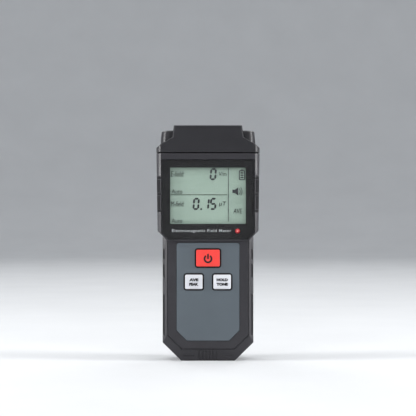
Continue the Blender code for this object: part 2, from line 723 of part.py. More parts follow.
def make_main_board():
    outline = mirrored([
        (12.8, 9.2), (21.8, 18.2), (21.8, 72.0), (25.6, 75.8), (25.6, 114.6), (14.0, 114.7), (14.0, 131.5),
    ])
    board = skin("main_board", [at_y(outline, y) for y in (BOARD_FRONT_Y, BOARD_BACK_Y)], "board_laminate")
    for name in ("case_screw_middle_left", "case_screw_middle_right"):
        cut(board, turned("tool_boss_hole", [(-7.0, 2.8), (-4.0, 2.8)], CASE_SCREWS[name], "Y"))
    for place in BOARD_SCREWS.values():
        cut(board, turned("tool_board_hole", [(-7.0, 1.2), (-4.0, 1.2)], place, "Y", steps=SMALL_ROUND_STEPS))


def make_chip(name, centre_x, centre_z, width, height, thickness, pins, pin_pitch, four_sided):
    """A chip behind the board: a moulded body with a row of pins on two or four sides."""
    foot_y = BOARD_BACK_Y + GAP
    half_x = width / 2
    half_z = height / 2
    body = ((centre_x - half_x, centre_x + half_x), (foot_y + 0.1, foot_y + 0.1 + thickness),
            (centre_z - half_z, centre_z + half_z))
    chip = box(name, *body, "black_plastic")
    pin_y = (foot_y, foot_y + 0.4)
    for i in range(pins):
        offset = (i - (pins - 1) / 2) * pin_pitch
        for side in (-1, 1):
            reach = sorted((centre_x + side * (half_x - 0.3), centre_x + side * (half_x + 0.9)))
            row = (centre_z + offset - 0.2, centre_z + offset + 0.2)
            add(chip, box("tool_side_pin", reach, pin_y, row))
            if four_sided:
                reach = sorted((centre_z + side * (half_z - 0.3), centre_z + side * (half_z + 0.9)))
                row = (centre_x + offset - 0.2, centre_x + offset + 0.2)
                add(chip, box("tool_end_pin", row, pin_y, reach))


def make_board_parts():
    make_chip("microcontroller", 6.0, 92.0, 10.0, 10.0, 1.4, 6, 1.4, True)
    make_chip("amplifier_chip", -6.0, 109.0, 3.9, 5.0, 1.5, 4, 1.27, False)
    make_chip("regulator_chip", 17.0, 79.0, 3.0, 3.0, 1.1, 3, 0.95, False)
    foot_y = BOARD_BACK_Y + GAP
    crystal = rounded_rectangle(-8.0, 79.5, 10.4, 3.8, 1.7, 4)
    skin("crystal", [at_y(crystal, y) for y in (foot_y, foot_y + 3.4)], "aluminium")
    can = [
        (foot_y, 3.0), (foot_y + 0.8, 3.15), (foot_y + 1.1, 2.9), (foot_y + 1.5, 3.15), (foot_y + 7.0, 3.15),
    ]
    turned("filter_capacitor", can, (18.0, 106.0), "Y", "aluminium")
    buzzer = [
        (foot_y, 6.0), (foot_y + 6.2, 6.0), (foot_y + 6.5, 5.7), (foot_y + 6.5, 1.0), (foot_y + 4.5, 1.0),
    ]
    turned("buzzer", buzzer, (-14.0, 92.0), "Y", "black_plastic")


def make_sensors():
    """Magnetic pick-up coil on its ferrite rod and the electric field plate, under the cap."""
    centre = (2.0, 128.0)
    turned("coil_core", [(-13.0, 1.5), (13.0, 1.5)], centre, "X", "ferrite", SMALL_ROUND_STEPS)
    spool = [
        (-11.0, 1.8), (-11.0, 4.4), (-10.0, 4.4), (-10.0, 2.5),
        (10.0, 2.5), (10.0, 4.4), (11.0, 4.4), (11.0, 1.8),
    ]
    turned("coil_bobbin", spool, centre, "X", "white_plastic", closed=True)
    winding = [(-9.7, 2.8), (-9.7, 4.1), (9.7, 4.1), (9.7, 2.8)]
    turned("coil_winding", winding, centre, "X", "copper", closed=True)
    box("field_plate", (-15.0, 15.0), (-10.6, -10.2), (124.2, 134.6), "copper")


# ---------------------------------------------------------------- batteries

def make_cell(name, x, bottom_z, upright):
    """A round AAA cell; a cell that isn't upright has its raised pole at the bottom."""
    half = CELL_RADIUS
    profile = [
        (0.0, half - 0.9), (0.25, half - 0.25), (0.7, half), (CELL_LENGTH - 1.7, half),
        (CELL_LENGTH - 1.2, half - 0.4), (CELL_LENGTH - 1.2, 1.9), (CELL_LENGTH, 1.8),
    ]
    if not upright:
        profile = [(CELL_LENGTH - position, radius) for position, radius in profile]
    profile = [(bottom_z + position, radius) for position, radius in profile]
    turned(name, profile, (x, CELL_Y), "Z", "cell_sleeve")


def make_spring(name, x, bottom_z, wide_end_down):
    """A conical contact spring of round wire."""
    turns = 3.5
    steps = int(turns * 10)
    wire = 0.25
    path = []
    for i in range(steps + 1):
        t = i / steps
        radius = 3.6 - 1.5 * (t if wide_end_down else 1 - t)
        angle = 2 * math.pi * turns * t
        z = bottom_z + wire + (SPRING_LENGTH - 2 * wire) * t
        path.append((x + radius * math.cos(angle), CELL_Y + radius * math.sin(angle), z))
    tube(name, path, wire, "nickel_steel", 5)


def make_contact(name, x_range, bottom_z, tab):
    """A flat contact plate; tab gives the X range of a solder tab through the bay's floor."""
    low_y, high_y, tab_y = 1.4, 9.6, -2.4
    outline = [(x_range[1], low_y), (x_range[1], high_y), (x_range[0], high_y), (x_range[0], low_y)]
    if tab:
        outline += [(tab[0], low_y), (tab[0], tab_y), (tab[1], tab_y), (tab[1], low_y)]
    rings = [at_z(outline, z) for z in (bottom_z, bottom_z + PLATE_THICKNESS)]
    skin(name, rings, "nickel_steel")


def make_battery_bay():
    low_plate_z = BAY_BOTTOM_Z + GAP
    high_plate_z = BAY_TOP_Z - GAP - PLATE_THICKNESS
    low_end_z = low_plate_z + PLATE_THICKNESS + GAP
    high_end_z = high_plate_z - GAP
    spring_room = SPRING_LENGTH + GAP
    make_cell("battery_cell_left", -CELL_PITCH, low_end_z + spring_room, True)
    make_cell("battery_cell_middle", 0.0, low_end_z, False)
    make_cell("battery_cell_right", CELL_PITCH, low_end_z + spring_room, True)
    make_spring("battery_spring_left", -CELL_PITCH, low_end_z, True)
    make_spring("battery_spring_middle", 0.0, high_end_z - SPRING_LENGTH, False)
    make_spring("battery_spring_right", CELL_PITCH, low_end_z, True)
    make_contact("bottom_contact_bridge", (-15.3, 4.4), low_plate_z, None)
    make_contact("negative_contact", (6.6, 15.3), low_plate_z, (12.7, 15.0))
    make_contact("positive_contact", (-15.3, -6.6), high_plate_z, (-15.0, -12.7))
    make_contact("top_contact_bridge", (-4.4, 15.3), high_plate_z, None)

    positive = [(-13.8, -3.2, 62.0), (-13.8, -3.3, 64.5), (-12.5, -3.0, 68.0), (-11.0, -3.2, 71.0),
                (-11.0, -3.9, 72.6)]
    negative = [(13.8, -3.2, 12.0), (13.8, -3.3, 14.5), (12.5, -3.0, 18.0), (11.0, -3.2, 21.0),
                (11.0, -3.9, 22.6)]
    tube("positive_lead", smooth_route(positive, 4), 0.5, "red_wire")
    tube("negative_lead", smooth_route(negative, 4), 0.5, "black_wire")

    pad = box("cover_pad", (-14.0, 14.0), (11.2, COVER_INNER_Y - GAP), (34.0, 44.0), "foam")
    set_origin(pad, COVER_HINGE)


# ---------------------------------------------------------------- screws

def make_screw(name, place, head_y, head_radius, head_height, shank_radius, shank_length, tip_length):
    """A cross-head screw that points towards the display."""
    profile = [
        (head_y + head_height, head_radius * 0.75),
        (head_y + head_height * 0.6, head_radius),
        (head_y, head_radius),
        (head_y, shank_radius),
        (head_y - shank_length + tip_length, shank_radius),
        (head_y - shank_length, shank_radius * 0.35),
    ]
    screw = turned(name, profile, place, "Y", "zinc_steel", SMALL_ROUND_STEPS)
    arm = head_radius * 0.6
    width = head_radius * 0.12
    floor_y = head_y + head_height * 0.45
    x, z = place
    cross = [(x - arm, x + arm), (z - width, z + width)], [(x - width, x + width), (z - arm, z + arm)]
    for depth, (x_range, z_range) in enumerate(cross):
        y_range = (floor_y - 0.02 * depth, head_y + head_height + 1.0)
        cut(screw, box("tool_cross_recess", x_range, y_range, z_range))


def make_screws():
    for name, place in CASE_SCREWS.items():
        make_screw(name, place, CASE_SCREW_SEAT_Y + GAP, 2.1, 1.7, 1.0, 12.5, 1.5)
    for name, place in BOARD_SCREWS.items():
        make_screw(name, place, BOARD_BACK_Y + GAP, 1.8, 1.2, 0.9, 5.0, 0.8)


# ---------------------------------------------------------------- assembly

def clear_scene():
    for thing in list(bpy.data.objects):
        bpy.data.objects.remove(thing)


def main():
    clear_scene()
    make_front_shell()
    make_rear_shell()
    make_sensor_cap()
    make_battery_cover()
    make_display_window()
    make_keypad_overlay()
    make_key("power_key", "red_key_plastic")
    make_key("mode_key", "white_key_plastic")
    make_key("hold_key", "white_key_plastic")
    for key in KEYS:
        make_contact_pill(key)
    make_keypad_mat()
    make_display_stack()
    make_alarm_led()
    make_main_board()
    make_board_parts()
    make_sensors()
    make_battery_bay()
    make_screws()


main()
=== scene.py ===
"""The looks of the hand-held field meter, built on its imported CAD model.

Meshes are in metres, in the CAD model's frame: X to the user's right, Y from the display to the
back, Z up. Places come from the CAD nodes' boxes. Named sizes are in millimetres, as on a drawing.
"""

import math

import bmesh
import bpy
from mathutils import Matrix, Vector
from mathutils.bvhtree import BVHTree
from mathutils.geometry import delaunay_2d_cdt, intersect_point_line


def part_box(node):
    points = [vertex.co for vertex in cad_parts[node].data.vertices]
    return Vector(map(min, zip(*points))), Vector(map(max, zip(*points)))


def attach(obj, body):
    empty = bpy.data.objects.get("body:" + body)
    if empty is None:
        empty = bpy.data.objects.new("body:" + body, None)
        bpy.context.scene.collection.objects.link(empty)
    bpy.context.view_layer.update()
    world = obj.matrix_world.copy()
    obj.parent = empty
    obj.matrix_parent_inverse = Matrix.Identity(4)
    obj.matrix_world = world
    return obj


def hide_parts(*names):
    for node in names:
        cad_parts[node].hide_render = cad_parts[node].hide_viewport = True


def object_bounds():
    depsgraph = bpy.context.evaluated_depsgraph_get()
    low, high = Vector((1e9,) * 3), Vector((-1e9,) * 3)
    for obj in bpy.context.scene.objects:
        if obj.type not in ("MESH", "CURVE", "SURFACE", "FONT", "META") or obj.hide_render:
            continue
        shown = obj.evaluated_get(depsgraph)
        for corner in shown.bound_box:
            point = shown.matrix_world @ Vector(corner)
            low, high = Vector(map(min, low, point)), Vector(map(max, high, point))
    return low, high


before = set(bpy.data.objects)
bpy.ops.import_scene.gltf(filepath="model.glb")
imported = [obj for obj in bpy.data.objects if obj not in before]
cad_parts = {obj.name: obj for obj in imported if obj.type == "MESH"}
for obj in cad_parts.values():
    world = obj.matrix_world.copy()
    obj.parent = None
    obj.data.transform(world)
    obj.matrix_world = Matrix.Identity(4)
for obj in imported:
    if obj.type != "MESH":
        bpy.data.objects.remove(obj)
cad_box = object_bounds()

MM = 0.001

# View
FRAME_WIDTH = 243.0
VIEW_HEIGHT = 89.6
VIEW_DISTANCE = 800.0
SENSOR_WIDTH = 36.0

# Faces level with each other, and edges sharp enough to be rounded
LEVEL = math.radians(1.0)
SHARP = math.radians(28.0)

# In square metres and metres: the least lap that has a folded face filled anew, and how near to
# the part's own surface a patch counts as lying on it
LAP = 1.0 * MM ** 2
ON_SURFACE = 0.02 * MM

# The smoothest that a satin surface gets. Below it, the renderer treats spots as mirrors and
# outlines them.
SATIN = 0.285

# Softened edges of the moulded parts: bevel widths
SHELL_EDGE = 0.22
CAP_EDGE = 0.30
COVER_EDGE = 0.20
WINDOW_EDGE = 0.16
FILM_EDGE = 0.06

# Height ranges of the finger facets
GRIP_HEIGHTS = ((14.5, 39.5), (48.4, 57.1), (59.2, 65.8), (87.0, 108.4))

# Display
PRINT_THICKNESS = 0.04
DISPLAY_HALF_WIDTH = 22.15
DISPLAY_HALF_HEIGHT = 16.45
DIGIT_HEIGHT = 7.1
DIGIT_WIDTH = 3.8
DIGIT_STROKE = 1.08
DIGIT_SLANT = 0.09
THIN_STROKE = 0.34
BATTERY_STROKE = 0.50

# Keys
KEY_FLANGE = 1.5
KEY_SHOULDER = 0.5
KEY_DOME = 0.12
# Below this depth from a key's face, its sides are black: painted shade in the gap round the key.
KEY_SHADE_DEPTH = 0.95
# A near-black ring set in the gap round each key: painted shade.
SHADE_RING_GAP = 0.10
SHADE_RING_WIDTH = 0.60
SHADE_RING_DEPTH = 0.9
BORDER_GAP = 0.72
BORDER_WIDTH = 0.24
KEY_CORNER = 0.8

# Lamp
LAMP_RADIUS = 1.3
LAMP_LENGTH = 5.05
LAMP_FLANGE_FRONT = 4.45

# Cells
CELL_CAP_SHARE = 0.24


# ---------------------------------------------------------------- node materials

def node(tree, kind, inputs=None, **settings):
    """A shader node; inputs are values or other nodes' sockets, by name or number."""
    made = tree.nodes.new(kind)
    for name, value in settings.items():
        setattr(made, name, value)
    for name, value in (inputs or {}).items():
        if isinstance(value, bpy.types.NodeSocket):
            tree.links.new(value, made.inputs[name])
        else:
            made.inputs[name].default_value = value
    return made


def place(tree):
    """Where a point is on its own piece, so that a pattern moves with the piece."""
    return node(tree, "ShaderNodeTexCoord").outputs["Object"]


def stretched(tree, scale):
    mapping = node(tree, "ShaderNodeMapping", {"Vector": place(tree), "Scale": scale})
    return mapping.outputs["Vector"]


def noise(tree, size, detail=2.0, where=None):
    """Noise from 0 to 1 whose spots are about size millimetres across."""
    inputs = {"Vector": where or place(tree), "Scale": 1.0 / (size * MM), "Detail": detail}
    return node(tree, "ShaderNodeTexNoise", inputs).outputs["Fac"]


def ranged(tree, value, low, high, to_low=0.0, to_high=1.0):
    """The value's stretch from low to high, mapped onto another range and held inside it."""
    inputs = {"Value": value, "From Min": low, "From Max": high, "To Min": to_low, "To Max": to_high}
    return node(tree, "ShaderNodeMapRange", inputs).outputs["Result"]


def calculated(tree, operation, first, second):
    return node(tree, "ShaderNodeMath", {0: first, 1: second}, operation=operation).outputs["Value"]


def mixed(tree, share, first, second):
    """One colour blended into another."""
    mix = node(tree, "ShaderNodeMix", {"Factor": share}, data_type="RGBA")
    for socket, value in ((mix.inputs[6], first), (mix.inputs[7], second)):
        if isinstance(value, bpy.types.NodeSocket):
            tree.links.new(value, socket)
        else:
            socket.default_value = (*value, 1.0)
    return mix.outputs[2]


def shade(colour, factor):
    return tuple(min(1.0, channel * factor) for channel in colour)


def bump(tree, height, depth, strength=1.0, below=None):
    """Surface relief of a depth in millimetres, over another relief if there is one."""
    inputs = {"Height": height, "Distance": depth * MM, "Strength": strength}
    if below:
        inputs["Normal"] = below
    return node(tree, "ShaderNodeBump", inputs).outputs["Normal"]


def edges(tree, reach, low=0.03, high=0.22):
    """1 on outside and inside edges, falling to 0 within reach millimetres."""
    rounded = node(tree, "ShaderNodeBevel", {"Radius": reach * MM}, samples=4).outputs["Normal"]
    flat = node(tree, "ShaderNodeNewGeometry").outputs["Normal"]
    dot = node(tree, "ShaderNodeVectorMath", {0: rounded, 1: flat}, operation="DOT_PRODUCT")
    turned_away = calculated(tree, "SUBTRACT", 1.0, dot.outputs["Value"])
    return ranged(tree, turned_away, low, high)


def new_material(name):
    material = bpy.data.materials.new(name)
    material.use_nodes = True
    tree = material.node_tree
    return material, tree, tree.nodes["Principled BSDF"]


def connect(tree, shader, **sockets):
    """Link sockets or set values on a shader: Base_Color=..., Roughness=..., Normal=..."""
    for name, value in sockets.items():
        socket = shader.inputs[name.replace("_", " ")]
        if isinstance(value, bpy.types.NodeSocket):
            tree.links.new(value, socket)
        elif isinstance(value, tuple):
            socket.default_value = (*value, 1.0)
        else:
            socket.default_value = value


def moulded_plastic(name, colour, roughness, grain=0.35, grain_depth=0.012, wear=0.5, specular=0.3):
    """Textured moulded plastic: fine grain, slow drift of tone, edges rubbed lighter and smoother."""
    material, tree, shader = new_material(name)
    drift = ranged(tree, noise(tree, 14.0, 3.0), 0.3, 0.7)
    tone = mixed(tree, drift, shade(colour, 0.90), shade(colour, 1.10))
    speck = ranged(tree, noise(tree, grain * 1.3, 1.0), 0.35, 0.75)
    tone = mixed(tree, calculated(tree, "MULTIPLY", speck, 0.16), tone, shade(colour, 1.9))
    patches = ranged(tree, noise(tree, 1.7, 3.0), 0.35, 0.70)
    rubbed = calculated(tree, "MULTIPLY", edges(tree, 0.35), patches)
    tone = mixed(tree, calculated(tree, "MULTIPLY", rubbed, wear), tone, shade(colour, 2.6))
    handled = ranged(tree, noise(tree, 6.0, 4.0), 0.3, 0.7, roughness - 0.06, roughness + 0.06)
    smoother = calculated(tree, "MULTIPLY", rubbed, 0.16)
    relief = bump(tree, noise(tree, grain, 2.0), grain_depth)
    relief = bump(tree, noise(tree, 9.0, 1.0), 0.05, 0.4, relief)
    connect(
        tree, shader, Base_Color=tone, Normal=relief, Specular_IOR_Level=specular,
        Roughness=calculated(tree, "MAXIMUM", calculated(tree, "SUBTRACT", handled, smoother), SATIN),
    )
    return material


def printed_film(name, colour):
    """Satin polycarbonate film, printed on its back: a fine even texture, faint handling marks, and a painted
    highlight along its edges.
    """
    material, tree, shader = new_material(name)
    drift = ranged(tree, noise(tree, 22.0, 2.0), 0.3, 0.7)
    tone = mixed(tree, drift, shade(colour, 0.96), shade(colour, 1.04))
    texture = noise(tree, 0.16, 1.0)
    tone = mixed(tree, ranged(tree, texture, 0.3, 0.8, 0.0, 0.14), tone, shade(colour, 1.5))
    # Lighter along every edge: a painted highlight.
    tone = mixed(tree, calculated(tree, "MULTIPLY", edges(tree, 0.18), 0.4), tone, shade(colour, 1.5))
    smudge = ranged(tree, noise(tree, 7.0, 5.0), 0.40, 0.65, 0.42, 0.54)
    connect(
        tree, shader, Base_Color=tone, Roughness=smudge, Specular_IOR_Level=0.4,
        Normal=bump(tree, texture, 0.006),
    )
    return material


def gloss_ink(name, colour, roughness=0.25, specular=0.3):
    """Screen-printed ink: nearly even, with a trace of the mesh it was printed through."""
    material, tree, shader = new_material(name)
    mottle = ranged(tree, noise(tree, 0.5, 3.0), 0.3, 0.7)
    tone = mixed(tree, mottle, shade(colour, 0.92), shade(colour, 1.08))
    connect(
        tree, shader, Base_Color=tone, Specular_IOR_Level=specular,
        Roughness=ranged(tree, noise(tree, 1.2, 2.0), 0.3, 0.7, roughness - 0.04, roughness + 0.06),
        Normal=bump(tree, noise(tree, 0.12, 1.0), 0.002),
    )
    return material


def clear_acrylic(name):
    """A clear window with an anti-glare coating, hairline scratches and faint smudges.

    Lamps shine through it.
    """
    material, tree, shader = new_material(name)
    scratch_place = stretched(tree, (1.0, 1.0, 0.06))
    scratches = ranged(tree, noise(tree, 0.22, 2.0, scratch_place), 0.70, 0.78)
    smudge = ranged(tree, noise(tree, 8.0, 5.0), 0.45, 0.75, 0.02, 0.07)
    connect(
        tree, shader, Base_Color=(0.97, 0.98, 0.98), IOR=1.39, Transmission_Weight=1.0,
        # The dimmed specular tint takes light out of the pane's reflection; the window print's colour carries
        # it instead, as painted reflection.
        Specular_Tint=(0.35, 0.35, 0.35),
        Roughness=calculated(tree, "ADD", smudge, calculated(tree, "MULTIPLY", scratches, 0.03)),
        Normal=bump(tree, scratches, 0.0006),
    )
    clear = node(tree, "ShaderNodeBsdfTransparent", {"Color": (0.94, 0.95, 0.95, 1.0)})
    shadow = node(tree, "ShaderNodeLightPath").outputs["Is Shadow Ray"]
    mix = node(tree, "ShaderNodeMixShader", {0: shadow, 1: shader.outputs[0], 2: clear.outputs[0]})
    tree.links.new(mix.outputs[0], tree.nodes["Material Output"].inputs["Surface"])
    return material


def display_glass(name, colour):
    """The reflective back of a liquid crystal: grey-green with the reflector's fine sparkle."""
    material, tree, shader = new_material(name)
    sparkle = noise(tree, 0.18, 1.0)
    cloud = ranged(tree, noise(tree, 18.0, 1.0), 0.3, 0.7)
    tone = mixed(tree, cloud, shade(colour, 0.97), shade(colour, 1.03))
    tone = mixed(tree, ranged(tree, sparkle, 0.35, 0.75, 0.0, 0.25), tone, shade(colour, 1.25))
    connect(
        tree, shader, Base_Color=tone, Specular_IOR_Level=0.3, Normal=bump(tree, sparkle, 0.003),
        Roughness=ranged(tree, noise(tree, 3.0, 2.0), 0.3, 0.7, 0.42, 0.52),
    )
    return material


def lamp_epoxy(name, colour):
    """Diffused red epoxy: light spreads inside it and its dome is glossy."""
    material, tree, shader = new_material(name)
    cloud = ranged(tree, noise(tree, 0.5, 3.0), 0.3, 0.7)
    connect(
        tree, shader, Base_Color=mixed(tree, cloud, shade(colour, 0.9), shade(colour, 1.1)),
        Subsurface_Weight=0.5, Subsurface_Scale=0.0008, Specular_IOR_Level=0.5,
        Roughness=ranged(tree, noise(tree, 1.0, 2.0), 0.3, 0.7, 0.12, 0.2),
        Emission_Color=colour, Emission_Strength=0.08,
    )
    return material


def plated_metal(name, colour, roughness, brushed=(1.0, 1.0, 1.0), size=0.25):
    """Plated sheet or wire: rolling marks along one direction, and dull patches."""
    material, tree, shader = new_material(name)
    marks = noise(tree, size, 3.0, stretched(tree, brushed))
    dull = ranged(tree, noise(tree, 2.5, 4.0), 0.35, 0.7)
    connect(
        tree, shader, Metallic=1.0, Normal=bump(tree, marks, 0.004),
        Base_Color=mixed(tree, dull, shade(colour, 1.06), shade(colour, 0.78)),
        Roughness=ranged(tree, marks, 0.3, 0.7, roughness - 0.05, roughness + 0.12),
    )
    return material


def rubber(name, colour):
    material, tree, shader = new_material(name)
    dust = ranged(tree, noise(tree, 1.2, 5.0), 0.45, 0.75)
    connect(
        tree, shader, Base_Color=mixed(tree, dust, colour, shade(colour, 1.5)), Specular_IOR_Level=0.25,
        Roughness=ranged(tree, noise(tree, 4.0, 3.0), 0.3, 0.7, 0.68, 0.82),
        Normal=bump(tree, noise(tree, 0.3, 3.0), 0.01),
    )
    return material


def foam(name, colour):
    """Closed-cell foam: small open bubbles over the whole face, each darker inside as painted shade."""
    material, tree, shader = new_material(name)
    bubbles = node(tree, "ShaderNodeTexVoronoi", {"Vector": place(tree), "Scale": 1800.0}).outputs["Distance"]
    # Darker inside each bubble and lighter between them: painted shade.
    hollow = ranged(tree, bubbles, 0.1, 0.6)
    connect(
        tree, shader, Base_Color=mixed(tree, hollow, shade(colour, 0.5), shade(colour, 1.6)),
        Roughness=ranged(tree, noise(tree, 2.0, 3.0), 0.3, 0.7, 0.88, 0.98), Specular_IOR_Level=0.15,
        Normal=bump(tree, hollow, 0.15),
    )
    return material


def board_laminate(name, colour):
    """Solder mask over copper: tracks show as paler lines, with the glass weave beneath."""
    material, tree, shader = new_material(name)
    tracks = node(
        tree, "ShaderNodeTexBrick",
        {"Vector": stretched(tree, (1.0, 0.0, 1.0)), "Scale": 1.0, "Mortar Size": 0.16 * MM,
         "Brick Width": 5.2 * MM, "Row Height": 1.3 * MM, "Mortar Smooth": 0.2},
    ).outputs["Fac"]
    tone = mixed(tree, calculated(tree, "MULTIPLY", tracks, 0.6), colour, shade(colour, 1.9))
    weave = noise(tree, 0.3, 1.0)
    tone = mixed(tree, ranged(tree, weave, 0.3, 0.8, 0.0, 0.2), tone, shade(colour, 0.6))
    relief = bump(tree, tracks, 0.03)
    connect(
        tree, shader, Base_Color=tone, Normal=bump(tree, weave, 0.006, 1.0, relief),
        Roughness=ranged(tree, noise(tree, 3.0, 3.0), 0.3, 0.7, 0.28, 0.42),
    )
    return material


def wound_wire(name, colour):
    """Enamelled wire wound in close turns round the X axis, darker between the turns as painted shade."""
    material, tree, shader = new_material(name)
    turns = node(
        tree, "ShaderNodeTexWave", {"Vector": place(tree), "Scale": 1100.0, "Distortion": 0.3},
        bands_direction="X",
    ).outputs["Fac"]
    # Darker between the turns: painted shade in the creases.
    connect(
        tree, shader, Base_Color=mixed(tree, turns, shade(colour, 0.35), shade(colour, 1.1)),
        Metallic=0.9, Normal=bump(tree, turns, 0.05),
        Roughness=ranged(tree, noise(tree, 1.5, 2.0), 0.3, 0.7, 0.29, 0.42),
    )
    return material


CHARCOAL = (0.0350, 0.0338, 0.0385)
CAP_CHARCOAL = (0.0250, 0.0245, 0.0275)
# The darker charcoal of the finger facets is painted shade; the cover's arrow is moulded in the same darker
# plastic.
GRIP_SHADE_AND_ARROW_CHARCOAL = (0.0120, 0.0117, 0.0130)
# The window's black print is lighter than bare ink: it is ink with a painted share of the pane's reflection.
PRINT_BLACK_AND_SHEEN = (0.0205, 0.0200, 0.0210)
FILM_BLUE = (0.101, 0.122, 0.140)
KEY_RED = (0.93, 0.062, 0.052)
KEY_WHITE = (0.69, 0.70, 0.74)
MARK_DARK = (0.012, 0.011, 0.013)
DISPLAY_GREEN = (0.313, 0.402, 0.340)
SEGMENT_DARK = (0.040, 0.042, 0.048)
LABEL_GREY = (0.026, 0.029, 0.031)
LAMP_RED = (0.50, 0.044, 0.050)

shell_plastic = moulded_plastic("shell_plastic", CHARCOAL, 0.33)
grip_shade_and_arrow_plastic = moulded_plastic("grip_shade_and_arrow_plastic", GRIP_SHADE_AND_ARROW_CHARCOAL, 0.70, 0.5, 0.03, 0.5, 0.10)
cap_plastic = moulded_plastic("cap_plastic", CAP_CHARCOAL, 0.33)
window_acrylic = clear_acrylic("window_acrylic")
window_ink_and_sheen = gloss_ink("window_ink_and_sheen", PRINT_BLACK_AND_SHEEN, 0.45, 0.1)
caption_ink = gloss_ink("caption_ink", (0.52, 0.53, 0.54), 0.45)
overlay_film = printed_film("overlay_film", FILM_BLUE)
red_key_plastic = moulded_plastic("red_key_plastic", KEY_RED, 0.42, 0.25, 0.004, 0.15)
white_key_plastic = moulded_plastic("white_key_plastic", KEY_WHITE, 0.42, 0.25, 0.004, 0.10)
key_ink = gloss_ink("key_ink", MARK_DARK, 0.5)
lcd_reflector = display_glass("lcd_reflector", DISPLAY_GREEN)
segment_dark = gloss_ink("segment_dark", SEGMENT_DARK, 0.4)
label_grey = gloss_ink("label_grey", LABEL_GREY, 0.4)
led_epoxy = lamp_epoxy("led_epoxy", LAMP_RED)
# The lamp's pale pink disc is a painted highlight.
led_painted_highlight = gloss_ink("led_painted_highlight", (0.80, 0.34, 0.32), 0.35)
white_plastic = moulded_plastic("white_plastic", (0.75, 0.75, 0.72), 0.5, 0.3, 0.006, 0.1)
black_plastic = moulded_plastic("black_plastic", (0.020, 0.020, 0.022), 0.5, 0.2, 0.008, 0.5)
laminate = board_laminate("board_laminate", (0.020, 0.130, 0.050))
silicone_rubber = rubber("silicone_rubber", (0.18, 0.18, 0.19))
carbon_rubber = rubber("carbon_rubber", (0.012, 0.012, 0.012))
gap_shade_black = rubber("gap_shade_black", (0.010, 0.010, 0.011))
zinc_steel = plated_metal("zinc_steel", (0.58, 0.59, 0.60), 0.34)
nickel_steel = plated_metal("nickel_steel", (0.66, 0.64, 0.60), 0.34, (0.15, 1.0, 1.0))
bare_copper = plated_metal("bare_copper", (0.72, 0.35, 0.20), 0.34, (0.1, 1.0, 1.0))
copper_winding = wound_wire("copper_winding", (0.72, 0.32, 0.16))
ferrite = moulded_plastic("ferrite", (0.055, 0.053, 0.056), 0.62, 0.15, 0.01, 0.4)
sleeve_dark = plated_metal("sleeve_dark", (0.055, 0.075, 0.110), 0.34, (1.0, 1.0, 0.2), 0.5)
sleeve_band = plated_metal("sleeve_band", (0.70, 0.42, 0.17), 0.34, (1.0, 1.0, 0.2), 0.5)
aluminium = plated_metal("aluminium", (0.72, 0.72, 0.73), 0.34, (1.0, 0.2, 1.0))
pad_foam = foam("pad_foam", (0.060, 0.060, 0.065))
red_wire = moulded_plastic("red_wire", (0.55, 0.03, 0.02), 0.42, 0.3, 0.004, 0.0)
black_wire = moulded_plastic("black_wire", (0.02, 0.02, 0.02), 0.42, 0.3, 0.004, 0.0)


# ---------------------------------------------------------------- mesh helpers

def piece(name, mesh, materials, body, replaced=()):
    """A finished object that rides on a body and may stand for CAD nodes."""
    made = bpy.data.objects.new(name, mesh)
    bpy.context.scene.collection.objects.link(made)
    while mesh.materials:
        mesh.materials.pop()
    for material in materials:
        mesh.materials.append(material)
    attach(made, body)
    if replaced:
        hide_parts(*replaced)
    return made


def smooth(mesh, angle=32.0):
    mesh.shade_smooth()
    mesh.set_sharp_from_angle(angle=math.radians(angle))


def built(thing):
    """The mesh of an object, with its modifiers or its curve worked out."""
    bpy.context.scene.collection.objects.link(thing)
    bpy.context.view_layer.update()
    evaluated = thing.evaluated_get(bpy.context.evaluated_depsgraph_get())
    mesh = bpy.data.meshes.new_from_object(evaluated)
    bpy.data.objects.remove(thing)
    return mesh


def level_faces(face):
    """The face and all that lie level with it, edge to edge."""
    found = {face}
    waiting = [face]
    while waiting:
        for edge in waiting.pop().edges:
            if edge.calc_face_angle(math.pi) < LEVEL:
                for other in edge.link_faces:
                    if other not in found:
                        found.add(other)
                        waiting.append(other)
    return found


def clearance(edge):
    """How near an edge comes to the other edges of its flat faces that don't touch it."""
    start, end = (vertex.co for vertex in edge.verts)
    samples = [start.lerp(end, share) for share in (0.05, 0.5, 0.95)]
    nearest = math.inf
    for face in edge.link_faces:
        for level_face in level_faces(face):
            for other in level_face.edges:
                first, second = other.verts
                touches = first in edge.verts or second in edge.verts
                if touches or other.calc_face_angle(math.pi) < LEVEL:
                    continue
                for sample in samples:
                    _, share = intersect_point_line(sample, first.co, second.co)
                    spot = first.co.lerp(second.co, min(1.0, max(0.0, share)))
                    nearest = min(nearest, (sample - spot).length)
    return nearest


